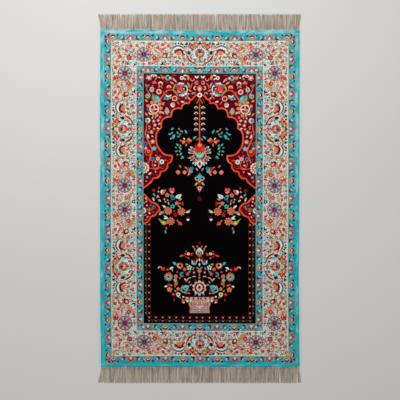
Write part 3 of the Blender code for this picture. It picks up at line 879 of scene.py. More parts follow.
# The sprays. A loose scatter of salmon daisies, stars and buds crosses the black ground from
# each hip towards the middle.
leaves(BOTH, 5,
    (BRICK, -145.4+31.6j, -141+41j, 5.2), (RUST, -168.4+24.4j, -155.4+32.6j, 4.6, 0.1),
    (RUST, -160.4+18.6j, -157+31j, 3.6), (TURQUOISE, -164.6+17.4j, -156+7j, 5.8, 0.06),
    (SALMON, -153.6+2.4j, -140+4j, 7, 0.2), (BLUSH, -148.4+4j, -146+11.6j, 4.6),
    (EMBER, -104.6+9j, -93.6+12.6j, 6), (BLUSH, -166.4+4.4j, -160.4-11.6j, 6.4, 0.1),
    (WHITE, -163-4j, -159.6-9j, 3), (BLUSH, -146.4-4.6j, -135.6-12j, 6.6, 0.08),
    (TURQUOISE, -123-8.4j, -117-15.6j, 6.4), (GOLD, -114-2.6j, -109.6-10.6j, 4),
    (BLUSH, -110.4-11.4j, -107.6-23.4j, 4.2), (RUST, -104-9j, -95-10.4j, 4.6),
    (EMBER, -75-15.4j, -64-17j, 5.6), (BRICK, -57.6-8.6j, -56.6-25j, 7, -0.24),
    (GOLD, -77.4-23j, -65.6-33.4j, 5.4, 0.05), (BLUSH, -132-24j, -116.6-37j, 8, 0.06),
    (WHITE, -130-25j, -122-32j, 4, 0.06), (TAN, -143.6-58.6j, -124-46.4j, 11, 0.08),
    (CREAM, -142-57.4j, -136-54j, 3.6), (BRICK, -92-47j, -87-41.6j, 5),
    (OLIVE, -49.6-49j, -31.4-37.6j, 9.4, -0.1), (MINT, -48-48j, -35.6-43j, 6.6, -0.1),
    (MINT, -126.6-60.6j, -113-74j, 6.4, 0.1), (MINT, -121-66j, -110.4-68.6j, 5),
    (WHITE, -126-71j, -116.6-71.6j, 4.6), (BRICK, -120.6-102j, -115-110.4j, 8, 0.1),
    (TURQUOISE, -121.4-111j, -118.6-124j, 6.2), (EMBER, -118-100j, -116-105j, 3.4))
lay(BOTH,
    OLIVE, [-145.6-70j, -139-74j, -132-77.4j, -123-79.4j, -111.4-84.4j, -117-90.4j, -124.6-94.6j,
        -132-92j, -137-84j],
    CREAM, leaf(-132-86j, -122-85j, 5.6), SALMON, leaf(-134.6+12j, -121+30.6j, 12.6, 5, 0.06),
    ORANGE, leaf(-127+18j, -119+33j, 6), WHITE, leaf(-136+17j, -130.6+31j, 6, 5, 0.06),
    OLIVE, leaf(-124+22j, -118.6+29j, 3), TURQUOISE, leaf(-135.6-53.4j, -125-48.6j, 7))
for tip, dye in (
    (-109+34.6j, RED), (-103.4+38j, PINK), (-97.6+39.4j, RED), (-91+38j, PINK),
    (-86.6+31j, RED),
):
    lay(BOTH, dye, leaf(-97+19j, tip, 8.4, 4))
lay(BOTH,
    BLUSH, leaf(-103.6+23.4j, -90.6+23.4j, 7, 5, -0.16),
    SALMON, leaf(-74-4.6j, -61.6-1j, 10, 5, 0.1),
    MINT, leaf(-84.6+3j, -63.6+16j, 14, 6, -0.08, 0.4), TURQUOISE, leaf(-79+5j, -71+9.4j, 3.6))
for at, size, dye, heart, count in (
    (-144.6+23.4j, 7.2, WINE, SKY, 6), (-123.9-3j, 7.0, WINE, SKY, 6),
    (-113.7+11.8j, 8.2, PINK, TEAL, 5), (-93.4+2.1j, 9.4, BLUE, PLUM, 5),
    (-80.2-16.2j, 7.6, PINK, BLUE, 5), (-94.4-27.4j, 8.6, TURQUOISE, PLUM, 5),
    (-84.7-56.8j, 7.4, RED, CRIMSON, 5), (-77.6-78.1j, 6.4, WINE, LILAC, 6),
):
    blossom(BOTH, at, size, dye, heart, count, math.pi / 2)
lay(BOTH,
    EMBER, petals(-69.6-86.6j, 7.2, 3, 0.34, 0.2, 3), EMBER, leaf(-67-88j, -61-93.6j, 6),
    WINE, disc(-40.6-69j, 6.2, 9), WHITE, leaf(-46.4-72j, -34.8-72j, 7.4, 5, -0.2))
for at, turn in ((-110.7-43.6j, 0.2), (-63.9-45.6j, 0.5), (-101.5-80.2j, 0.3)):
    for k in range(9):
        way = cmath.rect(1, math.tau * k / 9 + turn)
        lay(BOTH, SALMON, leaf(at + way * 5, at + way * 15, 6.4, 4, 0, 0.46))
    lay(BOTH,
        FLAME, petals(at, 9.8, 9, 0.12, turn, 2), SALMON, disc(at, 6.4, 10),
        PLUM, disc(at, 4.0, 8), GREY, disc(at, 2.4, 7))


# The inner edging of the lower field: small salmon hearts with brick wings, and a faint pink
# floret outside each, down both sides and along the bottom.
DOT_PITCH = 23.9
SIDE_START = -177.4-92.4j
SIDE_HEARTS = 14
END_START = -10.5-418.8j
END_HEARTS = 8

MOSS = (108, 104, 86)
FADED = (164, 126, 122)

hearts = [on_right(SIDE_START - 1j * DOT_PITCH * k) for k in range(SIDE_HEARTS)]
hearts += [on_top(END_START - DOT_PITCH * k) for k in range(END_HEARTS)]
hearts += [after(mirrored, spot) for spot in hearts]
lay(hearts,
    RUST, stem([-8.6+4.4j, 2.6j, 8.6+4.4j], 1.8, 0.5), CORAL, leaf(3.6j, -4.4j, 6.4, 4, 0, 0.38),
    SALMON, disc(0.4j, 2.4, 6), MOSS, stem([-7.4-7.4j, 0-14j, 7.4-7.4j], 2.0, 0.7),
    FADED, disc(-12.2j, 2.6, 6), UMBER, stem([9.4-17j, 11.6-12j, 9.4-7j], 1.8),
    UMBER, stem([14.4-17j, 12.2-12j, 14.4-7j], 1.8))


# The bouquet and its vase. A tall bunch of tulips, cups, daisies and palmettes stands in a
# small footed vase at the near end of the black ground.
RING = -69.6-236j
STAR = -35.4-242.2j
DAISY = -109.2-275.6j
PALMETTE = -313j
VASE = -376j
VASE_SPECKS = 48

CLAY = (184, 166, 150)

leaves(BOTH, 5,
    (SALMON, -26-166.4j, -19-171j, 5.6, 0.1), (TAN, -20.4-170j, -16-184j, 4.4, 0.1),
    (EMBER, -10.6-164.6j, -5-172j, 5.6), (ROSE, -52-184.4j, -43.4-188.4j, 5.4, 0.1),
    (EMBER, -54-195.6j, -43.6-193.6j, 6.2, 0.06), (EMBER, -33.6-197j, -21.4-191j, 5.6),
    (RED, -33-195j, -24-201.6j, 5.6), (EMBER, -71-204.4j, -55-199j, 6.4, 0.05),
    (BRICK, -57-200j, -48-196j, 4), (BRICK, -51.6-204j, -45-206.4j, 5.6),
    (EMBER, -41.6-206j, -36-212j, 6), (RUST, -15-208j, -7.6-210j, 4.6),
    (TURQUOISE, -12-240.6j, -2-246j, 4.8), (SALMON, -24-250.4j, -18.4-240.6j, 5),
    (TURQUOISE, -38.6-259.6j, -31-253.6j, 5.6), (BLUSH, -26-275.6j, -11.6-275j, 4, 0.14),
    (RUST, -18-286j, -8.6-286.4j, 4), (GREY, -38-297.6j, -33-289.6j, 4.4),
    (SALMON, -35-303.4j, -25-301.6j, 5.6), (TURQUOISE, -94-223.6j, -81-233.4j, 9, 0.04),
    (OLIVE, -49-227j, -44.6-234.6j, 5.6), (CREAM, -44-229j, -41.6-233j, 4.4),
    (TAN, -71.6-283j, -66.4-275j, 4.6), (MINT, -54-280j, -45.6-288j, 5),
    (EMBER, -47.6-294j, -43-286j, 5), (BLUSH, -46-290j, -27.6-276j, 5, 0.1),
    (CRIMSON, -43-289j, -31-279j, 2, 0.1), (BRICK, -113-306j, -103.6-302j, 6.6, 0.1),
    (SALMON, -106-303.6j, -95.6-308.6j, 5.4, 0.1), (WHITE, -124-310.6j, -112.6-308j, 6.6),
    (OLIVE, -89.6-321j, -82-328.6j, 4.8, 0.05), (OLIVE, -71.6-345j, -65.6-351j, 4.6),
    (RUST, -89.6-350j, -89-362.4j, 5), (EMBER, -62.4-352j, -57-366j, 8.6, 0.1),
    (GOLD, -63-362j, -57.6-367j, 4.6), (WHITE, -58-367.4j, -52.6-363j, 4.6),
    (OLIVE, -90-304j, -84-313.6j, 4, 0.1), (GREY, -86-292j, -82-295.6j, 4.6),
    (WINE, -104-291j, -108-298j, 4.4))
lay(BOTH,
    WHITE, disc(-57.2-345.4j, 3.2, 7), CREAM, petals(-39.2-193.8j, 5.6, 5, 0.16, 0, 3),
    SALMON, disc(-39.2-193.8j, 2.4, 6))

# The upper cups and stars
lay(BOTH,
    TURQUOISE, hoop(-18.4-223.6j, 7.4, 5.4, 1j, 2.0), MINT, leaf(-24-229j, -27-215j, 4),
    BLUSH, leaf(-10.4-224j, -6.6-212j, 4.6), BRICK, leaf(-18.4-228.6j, -17.6-212j, 6, 5, 0.1),
    SALMON, disc(-18.4-226.6j, 2.8, 6))
lay(MIDDLE,
    WHITE, leaf(-221j, -208.6j, 5), BLUSH, leaf(-238j, -225j, 7.4), WHITE, leaf(-235j, -228j, 3),
    EMBER, petals(-253.6j, 8.6, 4, 0.24, math.pi / 2), GOLD, petals(-253.6j, 5, 4, 0.3, 0.8, 2),
    BRICK, disc(-253.6j, 2.0, 6), TURQUOISE, leaf(-274j, -263j, 4.8),
    SALMON, disc(-278.6j, 3.4, 7), TAN, disc(-288j, 3.0, 7))
for k, dye in enumerate((SALMON, BRICK, RED, RED, RED, SALMON, SALMON)):
    lay(BOTH, dye, disc(RING + cmath.rect(8.2, 0.5 + math.tau * k / 7), 4.0, 7))
lay(BOTH,
    MAROON, disc(-69.4-236j, 6.0, 8), MINT, hoop(-70.6-235.4j, 5.8, 3.8, 1+0.2j, 2.6),
    SALMON, stem(curve(-66-228.6j, -60.4-233j, -61-240.6j, steps=2), 4.6, 0.6))
for k in range(5):
    way = cmath.rect(1, math.pi / 2 + math.tau * k / 5)
    lay(BOTH, MINT, leaf(STAR + way * 1.6, STAR + way * 10, 5.4))
lay(BOTH,
    PLUM, disc(STAR, 2.8, 7), ORANGE, disc(-51.8-248.6j, 6.6, 9),
    SALMON, disc(-52.6-247.6j, 2.6, 6))
for at, size, dye, heart, count in (
    (-77.7-258.4j, 6.0, WINE, LILAC, 6), (-41.8-264.7j, 8.2, ROSE, GREY, 5),
    (-18.8-259.3j, 7.8, WINE, SKY, 6), (-105.6-320.3j, 10.0, SALMON, OLIVE, 5),
    (-92.1-337.3j, 6.8, RED, PINK, 5), (-75.1-317.6j, 6.8, SALMON, TAN, 5),
    (-84.9-287.1j, 7.4, GREY, GOLD, 6), (-128-248.4j, 8.0, BRICK, EMBER, 4),
    (-111.9-250.3j, 5.6, BRICK, SALMON, 4),
):
    blossom(BOTH, at, size, dye, heart, count, math.pi / 2 if count == 5 else 0.8)
for at, size in ((-83.5-273.7j, 7.8), (-82.2-298.8j, 6.8)):
    lay(BOTH,
        EMBER, petals(at, size, 7, 0.1, 0, 2), SALMON, petals(at, size * 0.72, 7, 0.1, 0, 2),
        BRICK, disc(at, size * 0.36, 6))
lay(BOTH,
    BLUSH, leaf(-146.4-247.6j, -138-238.6j, 5.4, 5, 0.1),
    SALMON, leaf(-139.4-238.6j, -132-248j, 5.4, 5, 0.1),
    WHITE, leaf(-104.6-251j, -90.6-242j, 6.4, 5, 0.16),
    LILAC, leaf(-96-244j, -93.6-257.6j, 5.4, 5, -0.1),
    TURQUOISE, hoop(-59.6-266.6j, 7.0, 4.4, 1, 2.3), CRIMSON, leaf(-59-271j, -57.6-262j, 7.4))

# The wide daisy, the scroll and the shield
for k in range(12):
    way = cmath.rect(1, math.tau * k / 12)
    dye = SALMON if k in (2, 3, 4) else TURQUOISE
    lay(BOTH, dye, leaf(DAISY + way * 8, DAISY + way * 16, 5.4, 4))
lay(BOTH,
    SALMON, petals(DAISY, 10.4, 9, 0.1, 0.2, 2),
    GREY, petals(DAISY, 7.4, 7, 0.14, 0.2, 2), EMBER, disc(DAISY, 5.4, 9),
    PLUM, disc(DAISY, 2.8, 7), EMBER, disc(-107-263.6j, 4.2, 7),
    SALMON, stem(curve(-61-328j, -64-317j, -59-305j, steps=2), 4.4, 0.6),
    TURQUOISE, leaf(-61-316j, -36-305j, 19, 6, -0.1, 0.4),
    TURQUOISE, stem(curve(-68-322j, -60-328.6j, -48-327j, -40.6-317j, steps=2), 4.6, 0.4),
    SKY, stem(curve(-57-312j, -50-307j, -41-309j, steps=2), 2.6, 0.4),
    CRIMSON, leaf(-52.6-318.6j, -44.6-311.6j, 4.6),
    EMBER, stem(curve(-54-331.6j, -47-333.6j, -39.6-329j, steps=2), 4.0, 0.5),
    BRICK, leaf(-39-326j, -33.6-318j, 5), SALMON, leaf(-40.6-334.6j, -32-331.6j, 4.6),
    CREAM, [-75.1-347.6j, -68.6-341j, -67.4-334j, -71.4-330.4j, -78.8-330.4j, -82.8-334j,
        -81.6-341j],
    BRICK, leaf(-75.1-342.4j, -75.1-333j, 6.4, 5, 0, 0.6))

# The two palmettes on the middle line
lay(MIDDLE,
    WINE, disc(-156j, 5.4, 8),
    MINT, [0-171.4j, -5-175j, -8.6-180j, -13-185j, -12.6-194j, -8-196j, 8-196j, 12.6-194j, 13-185j,
        8.6-180j, 5-175j],
    TURQUOISE, leaf(-196j, -177j, 17, 7), CREAM, leaf(-190j, -175j, 9), GOLD, disc(-180j, 2.4, 6),
    LILAC, disc(-187j, 3.6, 7))
lay(BOTH, CRIMSON, leaf(-8.6-195j, -5.6-184j, 4.6))
lay(MIDDLE, PLUM, leaf(-196j, -189j, 4.6))
lay(BOTH, EMBER, leaf(-1-199j, -13-194.6j, 6.6, 5, -0.1))
lay(MIDDLE,
    BRICK, leaf(-8.6-201.6j, 8.6-201.6j, 6.4, 5, -0.16), TAN, leaf(-4.6-200j, 4.6-200j, 3.4))
for k in range(10):
    way = cmath.rect(1, math.tau * (k + 0.5) / 10)
    lay(MIDDLE,
        (MINT, BLUSH)[k % 2], leaf(PALMETTE + way * 12, PALMETTE + way * 25.6, 11, 5, 0, 0.6),
        SALMON, leaf(PALMETTE + way * 10, PALMETTE + way * 21.6, 7.4, 4, 0, 0.55),
        CRIMSON, disc(PALMETTE + way * 14.4, 3.2, 7))
lay(MIDDLE,
    MINT, leaf(-327j, -299j, 22), SALMON, leaf(-323j, -303.6j, 14),
    CRIMSON, leaf(-317.6j, -304.6j, 10), TEAL, disc(-331j, 3.0, 7))
lay(BOTH, TURQUOISE, leaf(-17-341j, -6.6-333j, 5.4, 5, 0.2))
lay(MIDDLE, BLUSH, leaf(-342j, -332.6j, 9))

# The vase itself
side = curve(-53-346j, -45-353j, -39.6-361j, -38-374j, -33.6-383j, -34.6-392j,
             -35.6-402j, steps=2)
vase = [*side, *(mirrored(point) for point in reversed(side))]
lay(MIDDLE, CRIMSON, [VASE + (point - VASE) * 1.05 for point in vase])
lay(MIDDLE, CLAY, [VASE + (point - VASE) * 0.98 for point in vase])
for k in range(VASE_SPECKS):
    at = complex(-dice.uniform(0, 33), -dice.uniform(357, 399))
    way = complex(dice.uniform(-1.6, 1.6), dice.uniform(2.4, 5.0))
    tint = (MINT, SALMON, GREY, CRIMSON, WHITE, SAGE, TURQUOISE, GREY)[k % 8]
    lay(BOTH, tint, leaf(at - way, at + way, 2.8, 3))
for at, size, dye in (
    (-45-350j, 4.2, BLUSH), (-37-348.6j, 3.6, WINE), (-29-350j, 4.2, BLUSH),
    (-21-351.6j, 3.4, WINE), (-13-350j, 4.2, BLUSH), (-5-352j, 3.6, WINE),
    (-49-356j, 3.6, SALMON), (-43-360j, 4.4, WHITE), (-37-364j, 3.0, WINE),
    (-37.6-356.6j, 3.2, CRIMSON), (-31-358j, 3.6, MINT), (-25-356j, 3.2, SALMON),
):
    lay(BOTH, dye, petals(at, size, 5, 0.16, 0.4, 2))
for x, dye in ((-19.6, EMBER), (-2.4, EMBER), (-10.6, PINK), (-28, ROSE)):
    lay(BOTH, dye, leaf(complex(x, -378), complex(x, -361), 4.6, 5, 0.05))
lay(MIDDLE, SKY, disc(-382j, 4.0, 8))
lay(BOTH, BRICK, disc(-9-383j, 2.6, 6))
lay(MIDDLE,
    FADED, stem([-34-389j, 0-390j, 34-389j], 3.4),
    ROSE, stem([-34-394.6j, 0-395.4j, 34-394.6j], 2.2))


# The pile itself: about 5 mm of cut wool on a woven ground, its edges rounded over by shearing
# and wear. The chart's outlines become the edges of one mesh, whose corners carry the dyes.
MM = 0.001
PILE_HEIGHT = 0.0055
SHOULDER = 2.0
SHOULDER_RINGS = (2.0, 1.1, 0.35)
SWELL_HEIGHT = 0.0006
SWELL_PITCH = 0.16
GRID = 30.0
GRID_INSET = 6
GRID_WAVE = (1.7, 1.1)
WELD = 1e-5
RIM_STEP = 12.5
HEM_SPREAD = 1.006
BACK_AT = 0.6
BACK_SCALE = 0.5
MAP_CORNER = (0.298, 0.5)
MAP_SIZE = 1.21
SHARP_ANGLE = 50
GAMMA = 2.4
PLAIN_EDGE = 0.015
# The width of the rim's painted shade; the scales of the pile's patches of painted sheen, its
# streaks, tufts, knots and veins
PAINTED_SHADE_RIM = 0.005
SHEEN_PATCH_SCALE = 11.0
STREAK_SCALE = 85.0
TUFT_SCALE = 420.0
KNOT_SCALE = 520.0
VEIN_SCALE = 150.0
VEIN_EDGES = (0.021, 0.052)

# How far each edge is pulled out of the straight: place along it from -1 to 1, millimetres
FAR_TUG = ((-1.00, 4.2), (-0.84, 1.8), (-0.36, 0.6), (-0.10, -1.8), (0.12, -1.5), (0.60, -0.8),
           (0.75, 1.0), (1.00, 1.3))
NEAR_TUG = ((-1.00, 0.5), (-0.50, -0.7), (0.00, 0.4), (0.85, 0.7), (1.00, -0.9))
LEFT_TUG = ((-1.00, -3.0), (-0.86, -2.7), (-0.72, -0.8), (0.00, 0.0), (0.20, -0.5),
            (0.48, 0.8), (0.70, -0.3), (1.00, -0.8))
RIGHT_TUG = ((-1.00, 1.3), (-0.80, -0.4), (-0.66, -0.5), (-0.48, -2.0), (-0.22, -0.7),
             (0.28, 0.2), (0.70, 1.0), (1.00, 1.3))

# The fine lines that are knotted into a ground, by the ground's dye
VEINS = {PALE: (120, 92, 72), SEA: (40, 126, 140), BURGUNDY: (116, 14, 32)}


def tugged(rows, place):
    """How far an edge has been pulled out of straight at a place, in millimetres."""
    for (start, before), (end, following) in zip(rows, rows[1:]):
        if place <= end:
            share = max(0.0, (place - start) / (end - start))
            return before + (following - before) * share * share * (3 - 2 * share)
    return rows[-1][1]


def left_edge(y):
    return -HALF_WIDTH - tugged(LEFT_TUG, y / HALF_LENGTH)


def right_edge(y):
    return HALF_WIDTH + tugged(RIGHT_TUG, y / HALF_LENGTH)


def end_edge(x, end):
    return end * (HALF_LENGTH + tugged(FAR_TUG if end > 0 else NEAR_TUG, x / HALF_WIDTH))


def as_laid(x, y):
    """Where a point of the chart lies on the real rug, whose edges aren't quite straight."""
    left, right = left_edge(y), right_edge(y)
    near, far = end_edge(x, -1), end_edge(x, 1)
    return (
        left + (right - left) * (x + HALF_WIDTH) / (2 * HALF_WIDTH),
        near + (far - near) * (y + HALF_LENGTH) / (2 * HALF_LENGTH),
    )


def as_light(tint):
    """A dye as the share of light that it sends back."""
    share = [level / 255 for level in tint]
    return [s / 12.92 if s <= 0.04045 else ((s + 0.055) / 1.055) ** GAMMA for s in share]


def steps_between(low, high, step):
    count = round((high - low) / step)
    return [low + (high - low) * k / count for k in range(count + 1)]


def rim_of(inset):
    """A rectangle that far inside the rug's edge, in short steps."""
    x, y = HALF_WIDTH - inset, HALF_LENGTH - inset
    across = steps_between(-x, x, RIM_STEP)
    along = steps_between(-y, y, RIM_STEP)
    return (
        [complex(at, -y) for at in across[:-1]]
        + [complex(x, at) for at in along[:-1]]
        + [complex(at, y) for at in across[:0:-1]]
        + [complex(-x, at) for at in along[:0:-1]]
    )


# The plain edge gets short steps for its pulled outline, and rings for its round shoulder.
# A wide grid of points under the outlines keeps the triangles of the bare grounds small.
chart[0] = (chart[0][0], rim_of(0.0))
for inset in SHOULDER_RINGS:
    chart.insert(1, (chart[0][0], rim_of(inset)))
spots = []
loops = []
for dye, outline in chart:
    loops.append(list(range(len(spots), len(spots) + len(outline))))
    spots += [Vector((point.real, point.imag)) for point in outline]
for row, y in enumerate(steps_between(-HALF_LENGTH + GRID_INSET, HALF_LENGTH - GRID_INSET, GRID)):
    for x in steps_between(-HALF_WIDTH + GRID_INSET, HALF_WIDTH - GRID_INSET, GRID):
        shift = GRID_WAVE[0] * math.sin(row * 1.3)
        spots.append(Vector((x + shift, y + GRID_WAVE[1] * math.sin(x))))
drawn = geometry.delaunay_2d_cdt(spots, [], loops, 1, WELD, True)

# Each triangle takes the dye of the last outline that was laid over it
bm = bmesh.new()
dye_layer = bm.loops.layers.float_color.new("dye")
vein_layer = bm.loops.layers.float_color.new("vein")
chart_map = bm.loops.layers.uv.new("OFBake")
corners = []
for spot in drawn[0]:
    x, y = as_laid(spot.x, spot.y)
    inset = max(0.0, min(HALF_WIDTH - abs(spot.x), HALF_LENGTH - abs(spot.y)))
    fall = SHOULDER - math.sqrt(SHOULDER**2 - max(0.0, SHOULDER - inset) ** 2)
    swell = SWELL_HEIGHT * noise.noise((x * MM / SWELL_PITCH, y * MM / SWELL_PITCH, 0.0))
    corners.append(bm.verts.new((x * MM, y * MM, PILE_HEIGHT + swell - fall * MM)))
light_of = {dye: (*as_light(dye), 1.0) for dye, outline in chart}
vein_of = {dye: (*as_light(VEINS.get(dye, dye)), 1.0) for dye in light_of}
for knots, owners in zip(drawn[2], drawn[5]):
    if len(set(knots)) == 3:
        face = bm.faces.new([corners[k] for k in knots])
        dye = chart[max(owners)][0]
        for loop in face.loops:
            loop[dye_layer] = light_of[dye]
            loop[vein_layer] = vein_of[dye]
            loop[chart_map].uv = (loop.vert.co.x, loop.vert.co.y)

# The sides go down to the floor, and one face closes the underside
rim = [edge for edge in bm.edges if edge.is_boundary]
hem = bmesh.ops.extrude_edge_only(bm, edges=rim)["geom"]
for vert in [item for item in hem if isinstance(item, bmesh.types.BMVert)]:
    vert.co.z = 0.0
for face in [item for item in hem if isinstance(item, bmesh.types.BMFace)]:
    for loop in face.loops:
        loop[dye_layer] = loop[vein_layer] = light_of[TURQUOISE]
        out = 1.0 if loop.vert.co.z > 0 else HEM_SPREAD
        loop[chart_map].uv = (loop.vert.co.x * out, loop.vert.co.y * out)
back = bmesh.ops.contextual_create(bm, geom=[edge for edge in bm.edges if edge.is_boundary])
for face in back["faces"]:
    face.material_index = 1
    for loop in face.loops:
        loop[dye_layer] = loop[vein_layer] = light_of[CREAM]
        loop[chart_map].uv = (BACK_AT + loop.vert.co.x * BACK_SCALE, loop.vert.co.y * BACK_SCALE)
for face in bm.faces:
    for loop in face.loops:
        u, v = loop[chart_map].uv
        loop[chart_map].uv = (MAP_CORNER[0] + u / MAP_SIZE, MAP_CORNER[1] + v / MAP_SIZE)
bmesh.ops.recalc_face_normals(bm, faces=bm.faces)
pile_mesh = bpy.data.meshes.new("pile")
bm.to_mesh(pile_mesh)
bm.free()
pile_mesh.shade_smooth()
pile_mesh.set_sharp_from_angle(angle=math.radians(SHARP_ANGLE))
pile = bpy.data.objects.new("pile", pile_mesh)
bpy.context.scene.collection.objects.link(pile)


class Strand:
    """A socket of a material, so that sums over the surface read as plain sums."""

    def __init__(self, tree, socket=None):
        self.tree = tree
        self.socket = socket

    def make(self, kind, settings=None, inputs=None, output=0):
        node = self.tree.nodes.new(kind)
        for name, value in (settings or {}).items():
            setattr(node, name, value)
        for name, value in (inputs or {}).items():
            if isinstance(value, Strand):
                self.tree.links.new(value.socket, node.inputs[name])
            else:
                node.inputs[name].default_value = value
        return Strand(self.tree, node.outputs[output])

    def joined(self, operation, first, second):
        return self.make("ShaderNodeMath", {"operation": operation}, {0: first, 1: second})

    def made(self, operation):
        return self.make("ShaderNodeMath", {"operation": operation}, {0: self})

    def __add__(self, other):
        return self.joined("ADD", self, other)

    def __sub__(self, other):
        return self.joined("SUBTRACT", self, other)

    def __rsub__(self, other):
        return self.joined("SUBTRACT", other, self)

    def __mul__(self, other):
        return self.joined("MULTIPLY", self, other)

    __radd__ = __add__
    __rmul__ = __mul__

    def scaled(self, share):
        """This colour, times a value."""
        return self.make("ShaderNodeVectorMath", {"operation": "SCALE"}, {0: self, 3: share})


def new_material(name, **constants):
    """A material, its tree, and a start for its strands."""
    material = bpy.data.materials.new(name)
    material.use_nodes = True
    shader = material.node_tree.nodes["Principled BSDF"]
    for socket, value in constants.items():
        shader.inputs[socket.replace("_", " ")].default_value = value
    return material, shader, Strand(material.node_tree)


def speckle(start, where, scale, detail=2.0, stretch=(1.0, 1.0, 1.0)):
    """Soft noise from 0 to 1 over the surface."""
    spread = start.make("ShaderNodeMapping", None, {"Vector": where, "Scale": stretch})
    inputs = {"Vector": spread, "Scale": scale, "Detail": detail}
    return start.make("ShaderNodeTexNoise", None, inputs)


def plug(start, value, socket):
    start.tree.links.new(value.socket, socket)


# Cut wool: the dyes and their veins, soft patches of painted sheen, streaks along the plain edge
# that are partly uneven dye and partly painted sheen, painted light that is lighter towards the
# niche end, painted shade along the outermost rim, and the tufts and knots that the light catches
wool, shader, start = new_material("wool_pile", Specular_IOR_Level=0.0, Sheen_Weight=0.0)
where = start.make("ShaderNodeTexCoord", output=3)
ground = start.make("ShaderNodeAttribute", {"attribute_name": "dye"})
veins = start.make("ShaderNodeAttribute", {"attribute_name": "vein"})
x = start.make("ShaderNodeSeparateXYZ", None, {"Vector": where})
y = start.make("ShaderNodeSeparateXYZ", None, {"Vector": where}, 1)
from_side = HALF_WIDTH * MM - x.made("ABSOLUTE")
from_end = HALF_LENGTH * MM - y.made("ABSOLUTE")
on_end = from_end.joined("LESS_THAN", from_end, PLAIN_EDGE)
plain = on_end.joined("MAXIMUM", on_end, from_side.joined("LESS_THAN", from_side, PLAIN_EDGE))
# Painted shade: the outermost band of the rim is painted darker
rim = from_end.joined("MINIMUM", from_end, from_side)
rim = rim.joined("LESS_THAN", rim, PAINTED_SHADE_RIM)
# Soft patches of painted sheen over the whole pile
sheen_patches = speckle(start, where, SHEEN_PATCH_SCALE, 3.0)
# Streaks along the plain edge, partly uneven dye and partly painted sheen; they also tilt the pile
# in the bump
along_end = speckle(start, where, STREAK_SCALE, 4.0, (0.3, 1.0, 1.0))
along_side = speckle(start, where, STREAK_SCALE, 4.0, (1.0, 0.3, 1.0))
streak = along_end * on_end + along_side * (1.0 - on_end)
tuft = speckle(start, where, TUFT_SCALE, 2.0)
knot = start.make(
    "ShaderNodeTexVoronoi", {"feature": "F1"},
    {"Vector": where, "Scale": KNOT_SCALE, "Randomness": 0.55},
)
halved = start.make(
    "ShaderNodeCombineXYZ", None, {"X": x.made("ABSOLUTE"), "Y": y.made("ABSOLUTE")}
)
field = speckle(start, halved, VEIN_SCALE, 1.5)
line = start.make(
    "ShaderNodeMapRange", {"clamp": True},
    {"Value": (field - 0.5).made("ABSOLUTE"), "From Min": VEIN_EDGES[0],
     "From Max": VEIN_EDGES[1], "To Min": 1.0, "To Max": 0.0},
)
dyed = start.make("ShaderNodeMix", {"data_type": "RGBA"}, {0: line, 6: ground, 7: veins}, 2)
# Painted sheen: the streaks, made stronger towards the niche end, whiten the dye, most of all on
# the plain edge
painted_sheen = start.make(
    "ShaderNodeMapRange", {"clamp": True},
    {"Value": streak + y * 0.14, "From Min": 0.47, "From Max": 0.70, "To Min": 0.0, "To Max": 1.0},
)
painted_sheen = painted_sheen * (plain * 0.8 + 0.2)
# Painted light: the pile is painted lighter towards the niche end and in patches of painted sheen;
# the streaks and tufts vary its tone
shade = 0.95 + y * 0.1 + (sheen_patches - 0.5) * 0.3
shade = shade + (streak - 0.5) * (0.2 + plain * 0.5) + (tuft - 0.5) * 0.5
# The painted sheen whitens and lightens the dye, and the rim's painted shade darkens it
lustre = start.make(
    "ShaderNodeHueSaturation", None,
    {"Saturation": 1.04 - painted_sheen * 0.5, "Value": shade + painted_sheen * 0.12 - rim * 0.1,
     "Color": dyed},
)
plug(start, lustre, shader.inputs["Base Color"])
plug(start, 0.86 + (tuft - 0.5) * 0.2, shader.inputs["Roughness"])
height = (1.0 - knot) * 0.6 + tuft * 0.4 + streak * 0.5
bump = start.make(
    "ShaderNodeBump", None, {"Strength": 0.55, "Distance": 0.0012, "Height": height}
)
plug(start, bump, shader.inputs["Normal"])
pile_mesh.materials.append(wool)

# The back, where warps and wefts of undyed cotton cross
woven, shader, start = new_material("woven_back", Specular_IOR_Level=0.1)
where = start.make("ShaderNodeTexCoord", output=3)
ribs = start.make(
    "ShaderNodeTexWave", {"wave_type": "BANDS", "bands_direction": "X"},
    {"Vector": where, "Scale": 90.0, "Distortion": 0.6}, 1,
)
wefts = start.make(
    "ShaderNodeTexWave", {"wave_type": "BANDS", "bands_direction": "Y"},
    {"Vector": where, "Scale": 110.0, "Distortion": 0.6}, 1,
)
mottle = speckle(start, where, 14.0, 4.0)
backing = start.make(
    "ShaderNodeMix", {"data_type": "RGBA"},
    {0: mottle, 6: (0.40, 0.33, 0.25, 1.0), 7: (0.56, 0.49, 0.39, 1.0)}, 2,
)
plug(start, backing.scaled(0.75 + ribs * 0.15 + wefts * 0.15), shader.inputs["Base Color"])
plug(start, 0.8 + mottle * 0.15, shader.inputs["Roughness"])
bump = start.make(
    "ShaderNodeBump", None, {"Strength": 0.5, "Distance": 0.0006, "Height": ribs + wefts}
)
plug(start, bump, shader.inputs["Normal"])
pile_mesh.materials.append(woven)
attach(pile, "root")
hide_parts("rug_body")


